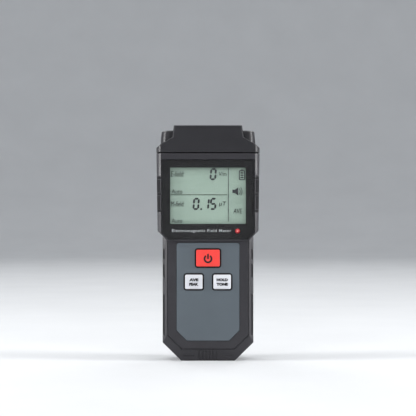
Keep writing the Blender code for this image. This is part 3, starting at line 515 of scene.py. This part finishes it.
def refilled(mesh, surface):
    """Fill anew each flat face that laps over itself, as a bevelled face beside an opening can.

    Only patches that lie on the part's own surface and face its way are kept, so that its
    openings stay open.
    """
    mesh.calc_loop_triangles()
    covered = [0.0] * len(mesh.polygons)
    for triangle in mesh.loop_triangles:
        covered[triangle.polygon_index] += triangle.area
    solid = bmesh.new()
    solid.from_mesh(mesh)
    solid.faces.ensure_lookup_table()
    folded = [
        face for face, polygon in zip(solid.faces, mesh.polygons)
        if len(face.verts) > 4 and covered[polygon.index] - polygon.area > LAP
    ]
    for face in folded:
        turn = face.normal.to_track_quat("Z", "Y").to_matrix()
        flat = [turn.transposed() @ vertex.co for vertex in face.verts]
        outline = [point.to_2d() for point in flat]
        whole = [list(range(len(flat)))]
        spots, _, triangles, sources, _, _ = delaunay_2d_cdt(outline, [], whole, 1, 1e-8)
        corners = []
        for spot, source in zip(spots, sources):
            if source:
                corners.append(face.verts[source[0]])
            else:
                corners.append(solid.verts.new(turn @ Vector((spot.x, spot.y, flat[0].z))))
        for triangle in triangles:
            patch = [corners[i] for i in triangle]
            centre = sum((corner.co for corner in patch), Vector()) / 3
            apart = len(set(patch)) == 3 and solid.faces.get(patch) is None
            _, facing, _, distance = surface.find_nearest(centre)
            if apart and distance < ON_SURFACE and facing.dot(face.normal) > 0.5:
                solid.faces.new(patch, face)
    bmesh.ops.delete(solid, geom=folded, context="FACES_ONLY")
    solid.to_mesh(mesh)
    solid.free()


def softened(node_name, name, width, material, body):
    """A copy of a CAD part with its edges rounded, as they come out of a mould."""
    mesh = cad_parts[node_name].data.copy()
    solid = bmesh.new()
    solid.from_mesh(mesh)
    bmesh.ops.remove_doubles(solid, verts=solid.verts, dist=2e-6)
    surface = BVHTree.FromBMesh(solid)
    bmesh.ops.dissolve_limit(solid, angle_limit=LEVEL, verts=solid.verts, edges=solid.edges)
    weights = solid.edges.layers.float.new("bevel_weight_edge")
    for edge in solid.edges:
        if edge.calc_face_angle(0.0) > SHARP:
            edge[weights] = min(1.0, 0.42 * clearance(edge) / (width * MM))
    solid.to_mesh(mesh)
    solid.free()

    holder = bpy.data.objects.new("holder", mesh)
    bevel = holder.modifiers.new("edge", "BEVEL")
    bevel.width = width * MM
    bevel.segments = 2
    bevel.limit_method = "WEIGHT"
    bevel.use_clamp_overlap = False
    mesh = built(holder)
    for vertex in mesh.vertices:
        spot, _, _, distance = surface.find_nearest(vertex.co)
        if distance > 1.2 * width * MM:
            vertex.co = spot
    mesh.update()
    refilled(mesh, surface)
    mesh.shade_smooth()
    made = piece(name, mesh, [material], body, [node_name])
    made.modifiers.new("normals", "WEIGHTED_NORMAL").keep_sharp = True
    return made


def stand_up(curve):
    """The mesh of a flat curve or text, stood up in X and Z so that it faces the front."""
    mesh = built(bpy.data.objects.new("holder", curve))
    mesh.transform(Matrix.Rotation(math.radians(90), 4, "X"))
    return mesh


def plate(outlines, thickness):
    """A thin plate with closed outlines in millimetres; one outline inside another is a hole."""
    curve = bpy.data.curves.new("outline", "CURVE")
    curve.dimensions = "2D"
    curve.fill_mode = "BOTH"
    curve.extrude = thickness / 2 * MM
    for outline in outlines:
        spline = curve.splines.new("POLY")
        spline.points.add(len(outline) - 1)
        spline.use_cyclic_u = True
        for point, (x, z) in zip(spline.points, outline):
            point.co = (x * MM, z * MM, 0.0, 1.0)
    return stand_up(curve)


def lettering(text, x_range, z_range, thickness, weight=0.0, slant=0.0, spacing=1.0):
    """Text made to fill a rectangle, all in millimetres; weight thickens its strokes."""
    curve = bpy.data.curves.new("text", "FONT")
    curve.body = text
    curve.size = 1.0
    curve.extrude = 0.5
    curve.offset = weight
    curve.shear = slant
    curve.space_character = spacing
    curve.resolution_u = 3
    mesh = stand_up(curve)
    low = Vector([min(v.co[i] for v in mesh.vertices) for i in range(3)])
    high = Vector([max(v.co[i] for v in mesh.vertices) for i in range(3)])
    scale_x = (x_range[1] - x_range[0]) / (high.x - low.x)
    scale_z = (z_range[1] - z_range[0]) / (high.z - low.z)
    for vertex in mesh.vertices:
        vertex.co = Vector((
            x_range[0] + (vertex.co.x - low.x) * scale_x,
            vertex.co.y * thickness,
            z_range[0] + (vertex.co.z - low.z) * scale_z,
        )) * MM
    return mesh


def joined(name, meshes, offset):
    """Several meshes in one, moved by an offset in metres."""
    together = bmesh.new()
    for mesh in meshes:
        together.from_mesh(mesh)
        bpy.data.meshes.remove(mesh)
    bmesh.ops.translate(together, verts=together.verts, vec=offset)
    mesh = bpy.data.meshes.new(name)
    together.to_mesh(mesh)
    together.free()
    return mesh


def lofted(name, rings):
    """A closed body over rings of equal point count, in metres."""
    body = bmesh.new()
    loops = [[body.verts.new(point) for point in ring] for ring in rings]
    body.faces.new(loops[0])
    body.faces.new(loops[-1])
    count = len(rings[0])
    for first, second in zip(loops, loops[1:]):
        for i in range(count):
            j = (i + 1) % count
            body.faces.new((first[i], first[j], second[j], second[i]))
    bmesh.ops.recalc_face_normals(body, faces=body.faces)
    mesh = bpy.data.meshes.new(name)
    body.to_mesh(mesh)
    body.free()
    return mesh


def turned(name, profile, centre, axis, steps=40):
    """A turned body: profile lists (metres along the axis, radius in metres)."""
    rings = []
    for along, radius in profile:
        ring = []
        for step in range(steps):
            angle = 2 * math.pi * step / steps
            first = radius * math.cos(angle)
            second = radius * math.sin(angle)
            if axis == "Y":
                ring.append((centre.x + first, along, centre.z + second))
            else:
                ring.append((centre.x + first, centre.y + second, along))
        rings.append(ring)
    mesh = lofted(name, rings)
    smooth(mesh, 40.0)
    return mesh


def rounded_rectangle(half_width, half_height, radius, steps=6):
    """A rectangle with round corners round the origin, counter-clockwise."""
    outline = []
    for quarter, (side_x, side_z) in enumerate(((1, -1), (1, 1), (-1, 1), (-1, -1))):
        for step in range(steps + 1):
            angle = math.radians(-90 + 90 * quarter + 90 * step / steps)
            x = side_x * (half_width - radius) + radius * math.cos(angle)
            z = side_z * (half_height - radius) + radius * math.sin(angle)
            outline.append((x, z))
    return outline


def arc(radius, stroke, start, end, steps=24):
    """The outline of a stroked arc round the origin, angles in degrees."""
    outline = []
    outer, inner = radius + stroke / 2, radius - stroke / 2
    for edge, order in ((outer, range(steps + 1)), (inner, range(steps, -1, -1))):
        for step in order:
            angle = math.radians(start + (end - start) * step / steps)
            outline.append((edge * math.cos(angle), edge * math.sin(angle)))
    return outline


def moved(outline, x, z):
    return [(point_x + x, point_z + z) for point_x, point_z in outline]


def rectangle(x_range, z_range):
    (left, right), (bottom, top) = x_range, z_range
    return [(left, bottom), (right, bottom), (right, top), (left, top)]


def middle(name):
    low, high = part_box(name)
    return (low + high) / 2


# ---------------------------------------------------------------- casing

def texture_and_shade_grips(casing):
    """The slanting finger facets have a coarser texture than the rest of the casing, and a darker colour that
    is painted shade.
    """
    casing.data.materials.append(grip_shade_and_arrow_plastic)
    for face in casing.data.polygons:
        z = face.center.z / MM
        beside_fingers = any(low < z < high for low, high in GRIP_HEIGHTS)
        if beside_fingers and abs(face.normal.x) > 0.85 and face.normal.y < -0.15:
            face.material_index = 1


def make_casing():
    casing = softened("front_shell", "front_casing", SHELL_EDGE, shell_plastic, "housing")
    texture_and_shade_grips(casing)
    softened("rear_shell", "rear_casing", SHELL_EDGE, shell_plastic, "housing")
    softened("sensor_cap", "sensor_cap_casing", CAP_EDGE, cap_plastic, "housing")
    softened(
        "battery_cover", "battery_cover_panel", COVER_EDGE, shell_plastic, "battery_cover",
    )
    softened("keypad_overlay", "keypad_film", FILM_EDGE, overlay_film, "housing")


# ---------------------------------------------------------------- display

def make_window():
    """The clear pane and, on its back, the black border with its caption."""
    softened("display_window", "window_pane", WINDOW_EDGE, window_acrylic, "housing")
    low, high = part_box("display_window")
    display = middle("lcd_panel") / MM
    lamp = middle("alarm_led") / MM
    margin = 0.25
    chamfer = 3.9
    half_width = high.x / MM - margin
    bottom = low.z / MM + margin
    top = high.z / MM - margin
    border = [
        (half_width - chamfer, bottom), (half_width, bottom + chamfer), (half_width, top),
        (-half_width, top), (-half_width, bottom + chamfer), (chamfer - half_width, bottom),
    ]
    opening = moved(rounded_rectangle(DISPLAY_HALF_WIDTH, DISPLAY_HALF_HEIGHT, 0.3, 3), 0.0, display.z)
    lamp_hole = moved(arc(0.75, 1.5, 0, 360, 32)[:32], lamp.x, lamp.z)
    # The border's black is ink with a painted share of the pane's reflection in its colour.
    ink = plate([border, opening, lamp_hole], PRINT_THICKNESS)
    ink.transform(Matrix.Translation((0.0, high.y + 0.08 * MM, 0.0)))
    piece("window_print", ink, [window_ink_and_sheen], "housing", ())

    caption = lettering(
        "Electromagnetic Field Meter", (-21.0, 13.5), (lamp.z - 1.10, lamp.z + 1.10),
        PRINT_THICKNESS, 0.006, 0.0, 1.15,
    )
    caption.transform(Matrix.Translation((0.0, high.y + 0.03 * MM, 0.0)))
    piece("window_caption", caption, [caption_ink], "housing", ())


def segment(start, end, stroke):
    """One bar of a digit: a long hexagon from start to end."""
    start = Vector(start)
    end = Vector(end)
    along = (end - start).normalized()
    across = Vector((-along.y, along.x)) * stroke / 2
    point = along * stroke / 2
    corners = (
        start, start + point + across, end - point + across,
        end, end - point - across, start + point - across,
    )
    return [tuple(corner) for corner in corners]


def digit(shape, centre_x, centre_z):
    """The bars of a digit, leaning to the right."""
    x = (DIGIT_WIDTH - DIGIT_STROKE) / 2
    z = (DIGIT_HEIGHT - DIGIT_STROKE) / 2
    ends = {
        "top": ((-x, z), (x, z)),
        "upper_right": ((x, z), (x, 0.0)),
        "lower_right": ((x, 0.0), (x, -z)),
        "bottom": ((-x, -z), (x, -z)),
        "lower_left": ((-x, 0.0), (-x, -z)),
        "upper_left": ((-x, z), (-x, 0.0)),
        "middle": ((-x, 0.0), (x, 0.0)),
    }
    shapes = {
        "0": ("top", "upper_right", "lower_right", "bottom", "lower_left", "upper_left"),
        "1": ("upper_right", "lower_right"),
        "5": ("top", "upper_left", "middle", "lower_right", "bottom"),
    }
    gap = 0.12
    bars = []
    for bar in shapes[shape]:
        start, end = (Vector(point) for point in ends[bar])
        along = (end - start).normalized() * gap
        outline = segment(start + along, end - along, DIGIT_STROKE)
        bars.append([(px + pz * DIGIT_SLANT + centre_x, pz + centre_z) for px, pz in outline])
    return bars


def make_display():
    """The display: reflector, dark digits and icons, and fainter labels and rules."""
    softened("lcd_panel", "display_panel", 0.15, lcd_reflector, "housing")
    low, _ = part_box("lcd_panel")
    centre = middle("lcd_panel")

    upper = 12.65
    lower = -4.8
    column = 3.05
    digits = digit("0", column, upper)
    for shape, x in (("0", -6.95), ("1", -1.1), ("5", column)):
        digits += digit(shape, x, lower)
    digits.append(moved(rounded_rectangle(0.5, 0.5, 0.3, 3), -4.0, lower - DIGIT_HEIGHT / 2 + 0.5))
    speaker = [(14.3, 1.6), (15.7, 1.6), (17.7, 0.1), (17.7, 4.9), (15.7, 3.5), (14.3, 3.5)]
    charge = [rectangle((19.05, 20.75), (z - 0.36, z + 0.36)) for z in (13.35, 12.0, 10.65)]
    battery = [
        moved(rounded_rectangle(1.8, 2.85, 0.7, 3), 19.9, 12.0),
        moved(rounded_rectangle(1.8 - BATTERY_STROKE, 2.85 - BATTERY_STROKE, 0.4, 3), 19.9, 12.0),
        rectangle((19.2, 20.6), (14.90, 15.3)),
    ]
    dark = plate(digits + [speaker] + charge + battery, PRINT_THICKNESS)
    dark = joined("display_digits", [dark], (0.0, low.y - 0.14 * MM, centre.z))
    piece("display_digits", dark, [segment_dark], "housing", ())

    words = (
        ("E-field:", (-21.7, -13.9), (11.2, 14.4)),
        ("M-field:", (-21.7, -13.9), (-6.3, -3.2)),
        ("Auto", (-21.4, -15.0), (1.2, 3.8)),
        ("Auto", (-21.4, -15.0), (-15.9, -13.4)),
        ("V/m", (6.4, 10.8), (11.5, 14.0)),
        ("µT", (6.4, 10.7), (-6.4, -3.4)),
        ("AVE", (14.8, 19.9), (-10.4, -7.6)),
    )
    labels = [lettering(text, xs, zs, PRINT_THICKNESS, 0.0, 0.12) for text, xs, zs in words]
    rules = [rectangle((-22.0, 11.1), (0.4, 0.7)), rectangle((11.75, 12.08), (-15.0, 16.3))]
    waves = [moved(arc(radius, THIN_STROKE, -38, 38, 10), 16.2, 2.5) for radius in (2.7, 3.7)]
    labels.append(plate(rules + waves, PRINT_THICKNESS))
    faint = joined("display_labels", labels, (0.0, low.y - 0.14 * MM, centre.z))
    piece("display_labels", faint, [label_grey], "housing", ())


def make_lamp():
    """A round lamp: a domed epoxy body, with a paler disc on the dome's tip that is a painted highlight."""
    low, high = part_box("alarm_led")
    centre = middle("alarm_led")
    flange = (high.x - low.x) / 2
    front = low.y
    back = front + LAMP_LENGTH * MM
    flange_front = front + LAMP_FLANGE_FRONT * MM
    profile = [(high.y, flange * 0.5), (back, flange * 0.5), (back, flange)]
    profile += [(flange_front, flange), (flange_front, LAMP_RADIUS * MM)]
    for step in range(8):
        angle = math.radians(86.0 * step / 7)
        depth = LAMP_RADIUS - LAMP_RADIUS * math.sin(angle)
        profile.append((front + depth * MM, LAMP_RADIUS * math.cos(angle) * MM))
    body = turned("alarm_lamp", profile, centre, "Y", 32)
    piece("alarm_lamp", body, [led_epoxy], "housing", ["alarm_led"])
    # A pale pink disc on the tip of the dome: a painted highlight.
    highlight_profile = [(-0.005, 0.10), (0.03, 0.42), (0.2, 0.45)]
    highlight_profile = [(front + depth * MM, wide * MM) for depth, wide in highlight_profile]
    highlight_disc = turned("alarm_lamp_painted_highlight", highlight_profile, centre, "Y", 24)
    piece("alarm_lamp_painted_highlight", highlight_disc, [led_painted_highlight], "housing", ())


# ---------------------------------------------------------------- keys

def key_mesh(name):
    """A moulded key: slightly domed face, round shoulder, straight skirt, flange and stem."""
    low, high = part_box(name)
    centre = middle(name)
    half_width = (high.x - low.x) / 2 / MM - KEY_FLANGE
    half_height = (high.z - low.z) / 2 / MM - KEY_FLANGE
    levels = []
    for inward in (3.6, 2.6, 1.7, 1.0, 0.75):
        fall = (1 - (inward - KEY_SHOULDER) / half_height) ** 2
        levels.append((KEY_DOME * fall, inward, 0.5))
    for step in range(5):
        angle = math.radians(90 * step / 4)
        inward = KEY_SHOULDER * (1 - math.sin(angle))
        levels.append((KEY_DOME + KEY_SHOULDER * (1 - math.cos(angle)), inward, KEY_CORNER))
    levels += [
        (KEY_SHADE_DEPTH, 0.0, KEY_CORNER), (3.0, 0.0, KEY_CORNER),
        (3.0, -KEY_FLANGE, 1.0), (3.8, -KEY_FLANGE, 1.0), (3.8, 2.1, 0.5),
    ]
    rings = []
    for depth, inward, radius in levels:
        outline = rounded_rectangle(half_width - inward, half_height - inward, radius)
        rings.append([(centre.x + x * MM, low.y + depth * MM, centre.z + z * MM) for x, z in outline])
    rings.append([(x, high.y, z) for x, _, z in rings[-1]])
    mesh = lofted(name + "_cap", rings)
    smooth(mesh, 40.0)
    return mesh


def make_key(name, material, marks):
    low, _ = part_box(name)
    centre = middle(name)
    cap = key_mesh(name)
    # Faces deeper than the colour depth get black plastic: painted shade down the key's sides.
    for face in cap.polygons:
        face.material_index = int(face.center.y > low.y + KEY_SHADE_DEPTH * MM)
    piece(name + "_cap", cap, [material, black_plastic], name, [name])
    ink = joined(name + "_mark", marks, (centre.x, low.y + 0.05 * MM, centre.z))
    piece(name + "_mark", ink, [key_ink], name, ())

    film_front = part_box("keypad_overlay")[0].y
    # The near-black ring in the gap round the key is painted shade.
    gap_shade = key_border(name, SHADE_RING_GAP, SHADE_RING_WIDTH, SHADE_RING_DEPTH, film_front + 0.1 * MM)
    piece(name + "_gap_shade", gap_shade, [gap_shade_black], "housing", ())
    border = key_border(name, BORDER_GAP, BORDER_WIDTH, PRINT_THICKNESS, film_front - 0.02 * MM)
    piece(name + "_border", border, [key_ink], "housing", ())


def key_border(name, gap, width, depth, front):
    """A flat frame round a key, at a gap from its sides."""
    low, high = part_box(name)
    centre = middle(name)
    half_width = (high.x - low.x) / 2 / MM - KEY_FLANGE
    half_height = (high.z - low.z) / 2 / MM - KEY_FLANGE
    outlines = [
        rounded_rectangle(half_width + grow, half_height + grow, 0.9 + grow)
        for grow in (gap, gap + width)
    ]
    return joined(name + "_border", [plate(outlines, depth)], (centre.x, front + depth / 2 * MM, centre.z))


def make_keys():
    sunk = 0.14
    ring = moved(arc(2.05, 1.0, 126, 414), 0.0, -0.4)
    power = plate([ring, rectangle((-0.48, 0.48), (-0.5, 2.5))], sunk)
    make_key("power_key", red_key_plastic, [power])
    words = {"mode_key": ("AVE", "PEAK", 2.7), "hold_key": ("HOLD", "TONE", 3.3)}
    for name, (upper, lower, reach) in words.items():
        marks = [
            lettering(upper, (-reach, reach), (0.35, 2.05), sunk, 0.075),
            lettering(lower, (-reach, reach), (-2.25, -0.5), sunk, 0.075),
        ]
        make_key(name, white_key_plastic, marks)


# ---------------------------------------------------------------- back, cells and screws

def make_cover_mark():
    """A raised arrow under the thumb grooves, pointing the way that the cover's tongue lets go."""
    _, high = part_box("battery_cover")
    arrow = [(-3.2, 0.0), (-1.3, 0.0), (-1.3, -3.4), (1.3, -3.4), (1.3, 0.0), (3.2, 0.0), (0.0, 3.4)]
    mark = plate([moved(arrow, 0.0, 48.6)], 0.5)
    mark.transform(Matrix.Translation((0.0, high.y + 0.02 * MM, 0.0)))
    piece("cover_arrow", mark, [grip_shade_and_arrow_plastic], "battery_cover", ())


def cell_profiles(length, radius):
    """Sleeve and can of a round cell, from its flat end to its raised pole, in millimetres."""
    sleeve = [
        (0.55, radius - 1.0), (0.30, radius - 0.70), (0.42, radius - 0.22), (0.95, radius),
        (length * (1 - CELL_CAP_SHARE), radius), (length - 2.3, radius), (length - 1.75, radius - 0.16),
        (length - 1.55, radius - 0.55), (length - 1.65, radius - 0.95),
    ]
    can = [
        (0.30, 0.3), (0.30, 2.2), (0.0, 2.5), (0.0, 3.5), (0.35, 3.9), (0.50, radius - 0.75),
        (length - 1.75, radius - 0.75), (length - 1.35, 3.9), (length - 1.35, 2.3), (length - 1.15, 2.0),
        (length - 0.20, 1.85), (length, 1.55), (length, 0.3),
    ]
    return sleeve, can


def wrapped(mesh, centre, radius):
    """Bend flat lettering, drawn round the origin, onto the back of an upright cylinder."""
    cut = bmesh.new()
    cut.from_mesh(mesh)
    reach = max(abs(vertex.co.x) for vertex in cut.verts)
    steps = int(reach / (0.4 * MM))
    for step in range(-steps, steps + 1):
        everything = cut.verts[:] + cut.edges[:] + cut.faces[:]
        spot = (0.4 * MM * step, 0.0, 0.0)
        bmesh.ops.bisect_plane(cut, geom=everything, plane_co=spot, plane_no=(1.0, 0.0, 0.0))
    cut.to_mesh(mesh)
    cut.free()
    for vertex in mesh.vertices:
        angle = vertex.co.x / radius
        reach = radius - vertex.co.y
        vertex.co = Vector((
            centre.x - reach * math.sin(angle), centre.y + reach * math.cos(angle), vertex.co.z,
        ))


def make_cell(name, pole_up):
    low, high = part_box(name)
    centre = middle(name)
    length = (high.z - low.z) / MM
    radius = (high.x - low.x) / 2
    sleeve, can = cell_profiles(length, radius / MM)
    if pole_up:
        sleeve = [(low.z + along * MM, r * MM) for along, r in sleeve]
        can = [(low.z + along * MM, r * MM) for along, r in can]
    else:
        sleeve = [(high.z - along * MM, r * MM) for along, r in sleeve]
        can = [(high.z - along * MM, r * MM) for along, r in can]
    jacket = turned(name + "_sleeve", sleeve, centre, "Z", 48)
    split = low.z + (high.z - low.z) * (1 - CELL_CAP_SHARE if pole_up else CELL_CAP_SHARE)
    for face in jacket.polygons:
        above = face.center.z > split
        face.material_index = int(above == pole_up)
    piece(name + "_sleeve", jacket, [sleeve_dark, sleeve_band], "housing", [name])
    can = turned(name + "_can", can, centre, "Z", 48)
    piece(name + "_can", can, [nickel_steel], "housing", ())

    ink = 0.05
    sign_z = 15.4 if pole_up else -15.4
    plus = [
        rectangle((-1.4, 1.4), (sign_z - 0.32, sign_z + 0.32)),
        rectangle((-0.32, 0.32), (sign_z + 0.34, sign_z + 1.4)),
        rectangle((-0.32, 0.32), (sign_z - 1.4, sign_z - 0.34)),
    ]
    minus = [rectangle((-1.4, 1.4), (-sign_z - 0.32, -sign_z + 0.32))]
    size = lettering("AAA  1.5 V", (-8.0, 8.0), (-1.0, 1.0), ink, 0.02)
    size.transform(Matrix.Rotation(math.radians(90 if pole_up else -90), 4, "Y"))
    size.transform(Matrix.Translation((0.0, 0.0, -2.0 * MM if pole_up else 2.0 * MM)))
    marks = joined(name + "_marks", [plate(plus + minus, ink), size], (0.0, 0.0, 0.0))
    wrapped(marks, Vector((centre.x, centre.y, 0.0)), radius + 0.03 * MM)
    marks.transform(Matrix.Translation((0.0, 0.0, centre.z)))
    marks.flip_normals()
    piece(name + "_marks", marks, [caption_ink], "housing", ())


def make_cells():
    make_cell("battery_cell_left", True)
    make_cell("battery_cell_middle", False)
    make_cell("battery_cell_right", True)


def carved(mesh, cutter):
    """The mesh with a cutter's shape taken out of it."""
    tool = bpy.data.objects.new("tool", cutter)
    bpy.context.scene.collection.objects.link(tool)
    holder = bpy.data.objects.new("holder", mesh)
    cut = holder.modifiers.new("cut", "BOOLEAN")
    cut.operation = "DIFFERENCE"
    cut.solver = "EXACT"
    cut.object = tool
    result = built(holder)
    bpy.data.objects.remove(tool)
    return result


def make_screw(name):
    """A cross-head screw whose head faces the back, with thread rings down its shank."""
    low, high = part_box(name)
    centre = middle(name)
    head = (high.x - low.x) / 2
    head_height = head * 0.8
    shank = head * 0.48
    seat = high.y - head_height
    profile = [(high.y, head * 0.45), (high.y - head_height * 0.12, head * 0.74),
               (high.y - head_height * 0.38, head * 0.94), (high.y - head_height * 0.62, head), (seat, head)]
    pitch = 0.8 * MM
    along = seat
    while along > low.y + 2.2 * pitch:
        profile += [(along, shank * 0.8), (along - pitch * 0.7, shank * 0.8), (along - pitch * 0.85, shank)]
        along -= pitch
    profile.append((low.y, shank * 0.25))
    arm = head * 0.62
    width = head * 0.15
    cross = []
    for turn in range(4):
        for x, z in ((width, -width), (arm, -width), (arm, width), (width, width)):
            angle = math.radians(90 * turn)
            cross.append((
                x * math.cos(angle) - z * math.sin(angle),
                x * math.sin(angle) + z * math.cos(angle),
            ))
    corners = [point for i, point in enumerate(cross) if i % 4 != 0]
    floor = high.y - head_height * 0.7
    rings = []
    for depth, scale in ((floor, 0.45), (high.y + 0.5 * MM, 1.12)):
        rings.append([(centre.x + x * scale, depth, centre.z + z * scale) for x, z in corners])
    mesh = carved(turned(name, profile, centre, "Y", 32), lofted("cutter", rings))
    smooth(mesh, 35.0)
    piece(name + "_detailed", mesh, [zinc_steel], "housing", [name])


def make_screws():
    for name in sorted(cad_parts):
        if name.startswith(("case_screw", "board_screw")):
            make_screw(name)


# ---------------------------------------------------------------- CAD nodes that stay

def paint_cad_nodes():
    """Materials for the nodes that keep their CAD mesh."""
    paint = {
        silicone_rubber: ("keypad_mat", "lcd_connector"),
        carbon_rubber: ("power_contact_pill", "mode_contact_pill", "hold_contact_pill"),
        white_plastic: ("backlight_panel", "lcd_frame", "coil_bobbin"),
        laminate: ("main_board",),
        black_plastic: ("microcontroller", "amplifier_chip", "regulator_chip", "buzzer"),
        aluminium: ("crystal", "filter_capacitor"),
        ferrite: ("coil_core",),
        copper_winding: ("coil_winding",),
        bare_copper: ("field_plate",),
        nickel_steel: (
            "battery_spring_left", "battery_spring_middle", "battery_spring_right", "bottom_contact_bridge",
            "top_contact_bridge", "negative_contact", "positive_contact",
        ),
        red_wire: ("positive_lead",),
        black_wire: ("negative_lead",),
        pad_foam: ("cover_pad",),
    }
    for material, names in paint.items():
        for name in names:
            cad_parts[name].material_slots[0].material = material


# ---------------------------------------------------------------- studio

def make_stage():
    """A pale round floor that curves up into a backdrop on every side."""
    flat_radius = 1.7
    curve_radius = 0.9
    steps = 96
    profile = [(0.0, 0.4), (0.0, flat_radius)]
    for step in range(1, 13):
        angle = math.radians(90 * step / 12)
        profile.append((curve_radius * (1 - math.cos(angle)), flat_radius + curve_radius * math.sin(angle)))
    profile.append((3.2, flat_radius + curve_radius))
    body = bmesh.new()
    loops = []
    for z, radius in profile:
        turns = [2 * math.pi * step / steps for step in range(steps)]
        loops.append([body.verts.new((radius * math.cos(a), radius * math.sin(a), z)) for a in turns])
    body.faces.new(loops[0])
    for inner, outer in zip(loops, loops[1:]):
        for i in range(steps):
            j = (i + 1) % steps
            body.faces.new((outer[i], outer[j], inner[j], inner[i]))
    mesh = bpy.data.meshes.new("studio_floor")
    body.to_mesh(mesh)
    body.free()
    mesh.shade_smooth()
    material, tree, shader = new_material("studio_paper")
    cloud = ranged(tree, noise(tree, 90.0, 3.0), 0.3, 0.7)
    connect(
        tree, shader, Base_Color=mixed(tree, cloud, (0.70, 0.71, 0.72), (0.73, 0.74, 0.75)),
        Roughness=0.85, Specular_IOR_Level=0.2, Normal=bump(tree, noise(tree, 0.8, 3.0), 0.02),
    )
    mesh.materials.append(material)
    floor = bpy.data.objects.new("studio_floor", mesh)
    bpy.context.scene.collection.objects.link(floor)


def make_light(name, spot, target, width, height, power, colour=(1.0, 1.0, 1.0)):
    light = bpy.data.lights.new(name, "AREA")
    light.shape = "RECTANGLE"
    light.size = width
    light.size_y = height
    light.energy = power
    light.color = colour
    lamp = bpy.data.objects.new(name, light)
    lamp.location = spot
    lamp.rotation_mode = "QUATERNION"
    lamp.rotation_quaternion = (Vector(target) - Vector(spot)).to_track_quat("-Z", "Y")
    bpy.context.scene.collection.objects.link(lamp)


def make_lights():
    aim = (0.0, 0.0, 0.07)
    make_light("strip_left", (-0.78, -0.14, 0.20), aim, 0.18, 0.95, 9.0)
    make_light("strip_right", (0.78, -0.14, 0.20), aim, 0.18, 0.95, 9.0)
    make_light("front_left", (-0.55, -0.95, 0.75), aim, 0.55, 0.55, 1.8)
    make_light("front_right", (0.55, -0.95, 0.75), aim, 0.55, 0.55, 1.8)
    make_light("overhead", (0.0, 0.1, 1.2), aim, 1.0, 1.0, 2.0)
    make_light("back_left", (-0.55, 0.95, 1.1), aim, 0.6, 0.6, 3.5)
    make_light("back_right", (0.55, 0.95, 1.1), aim, 0.6, 0.6, 3.5)
    world = bpy.data.worlds.new("studio")
    world.use_nodes = True
    background = world.node_tree.nodes["Background"]
    background.inputs["Color"].default_value = (0.92, 0.95, 1.0, 1.0)
    background.inputs["Strength"].default_value = 0.55
    bpy.context.scene.world = world
    bpy.context.scene.view_settings.view_transform = "Standard"


def make_camera():
    lens = bpy.data.cameras.new("camera")
    lens.sensor_width = SENSOR_WIDTH
    lens.lens = SENSOR_WIDTH * VIEW_DISTANCE / FRAME_WIDTH
    lens.clip_start = 0.01
    lens.clip_end = 20.0
    camera = bpy.data.objects.new("camera", lens)
    camera.location = (0.0, cad_box[0].y - VIEW_DISTANCE * MM, VIEW_HEIGHT * MM)
    camera.rotation_euler = (math.radians(90), 0.0, 0.0)
    bpy.context.scene.collection.objects.link(camera)
    bpy.context.scene.camera = camera


make_casing()
make_window()
make_display()
make_lamp()
make_keys()
make_cover_mark()
make_cells()
make_screws()
paint_cad_nodes()
make_stage()
make_lights()
make_camera()
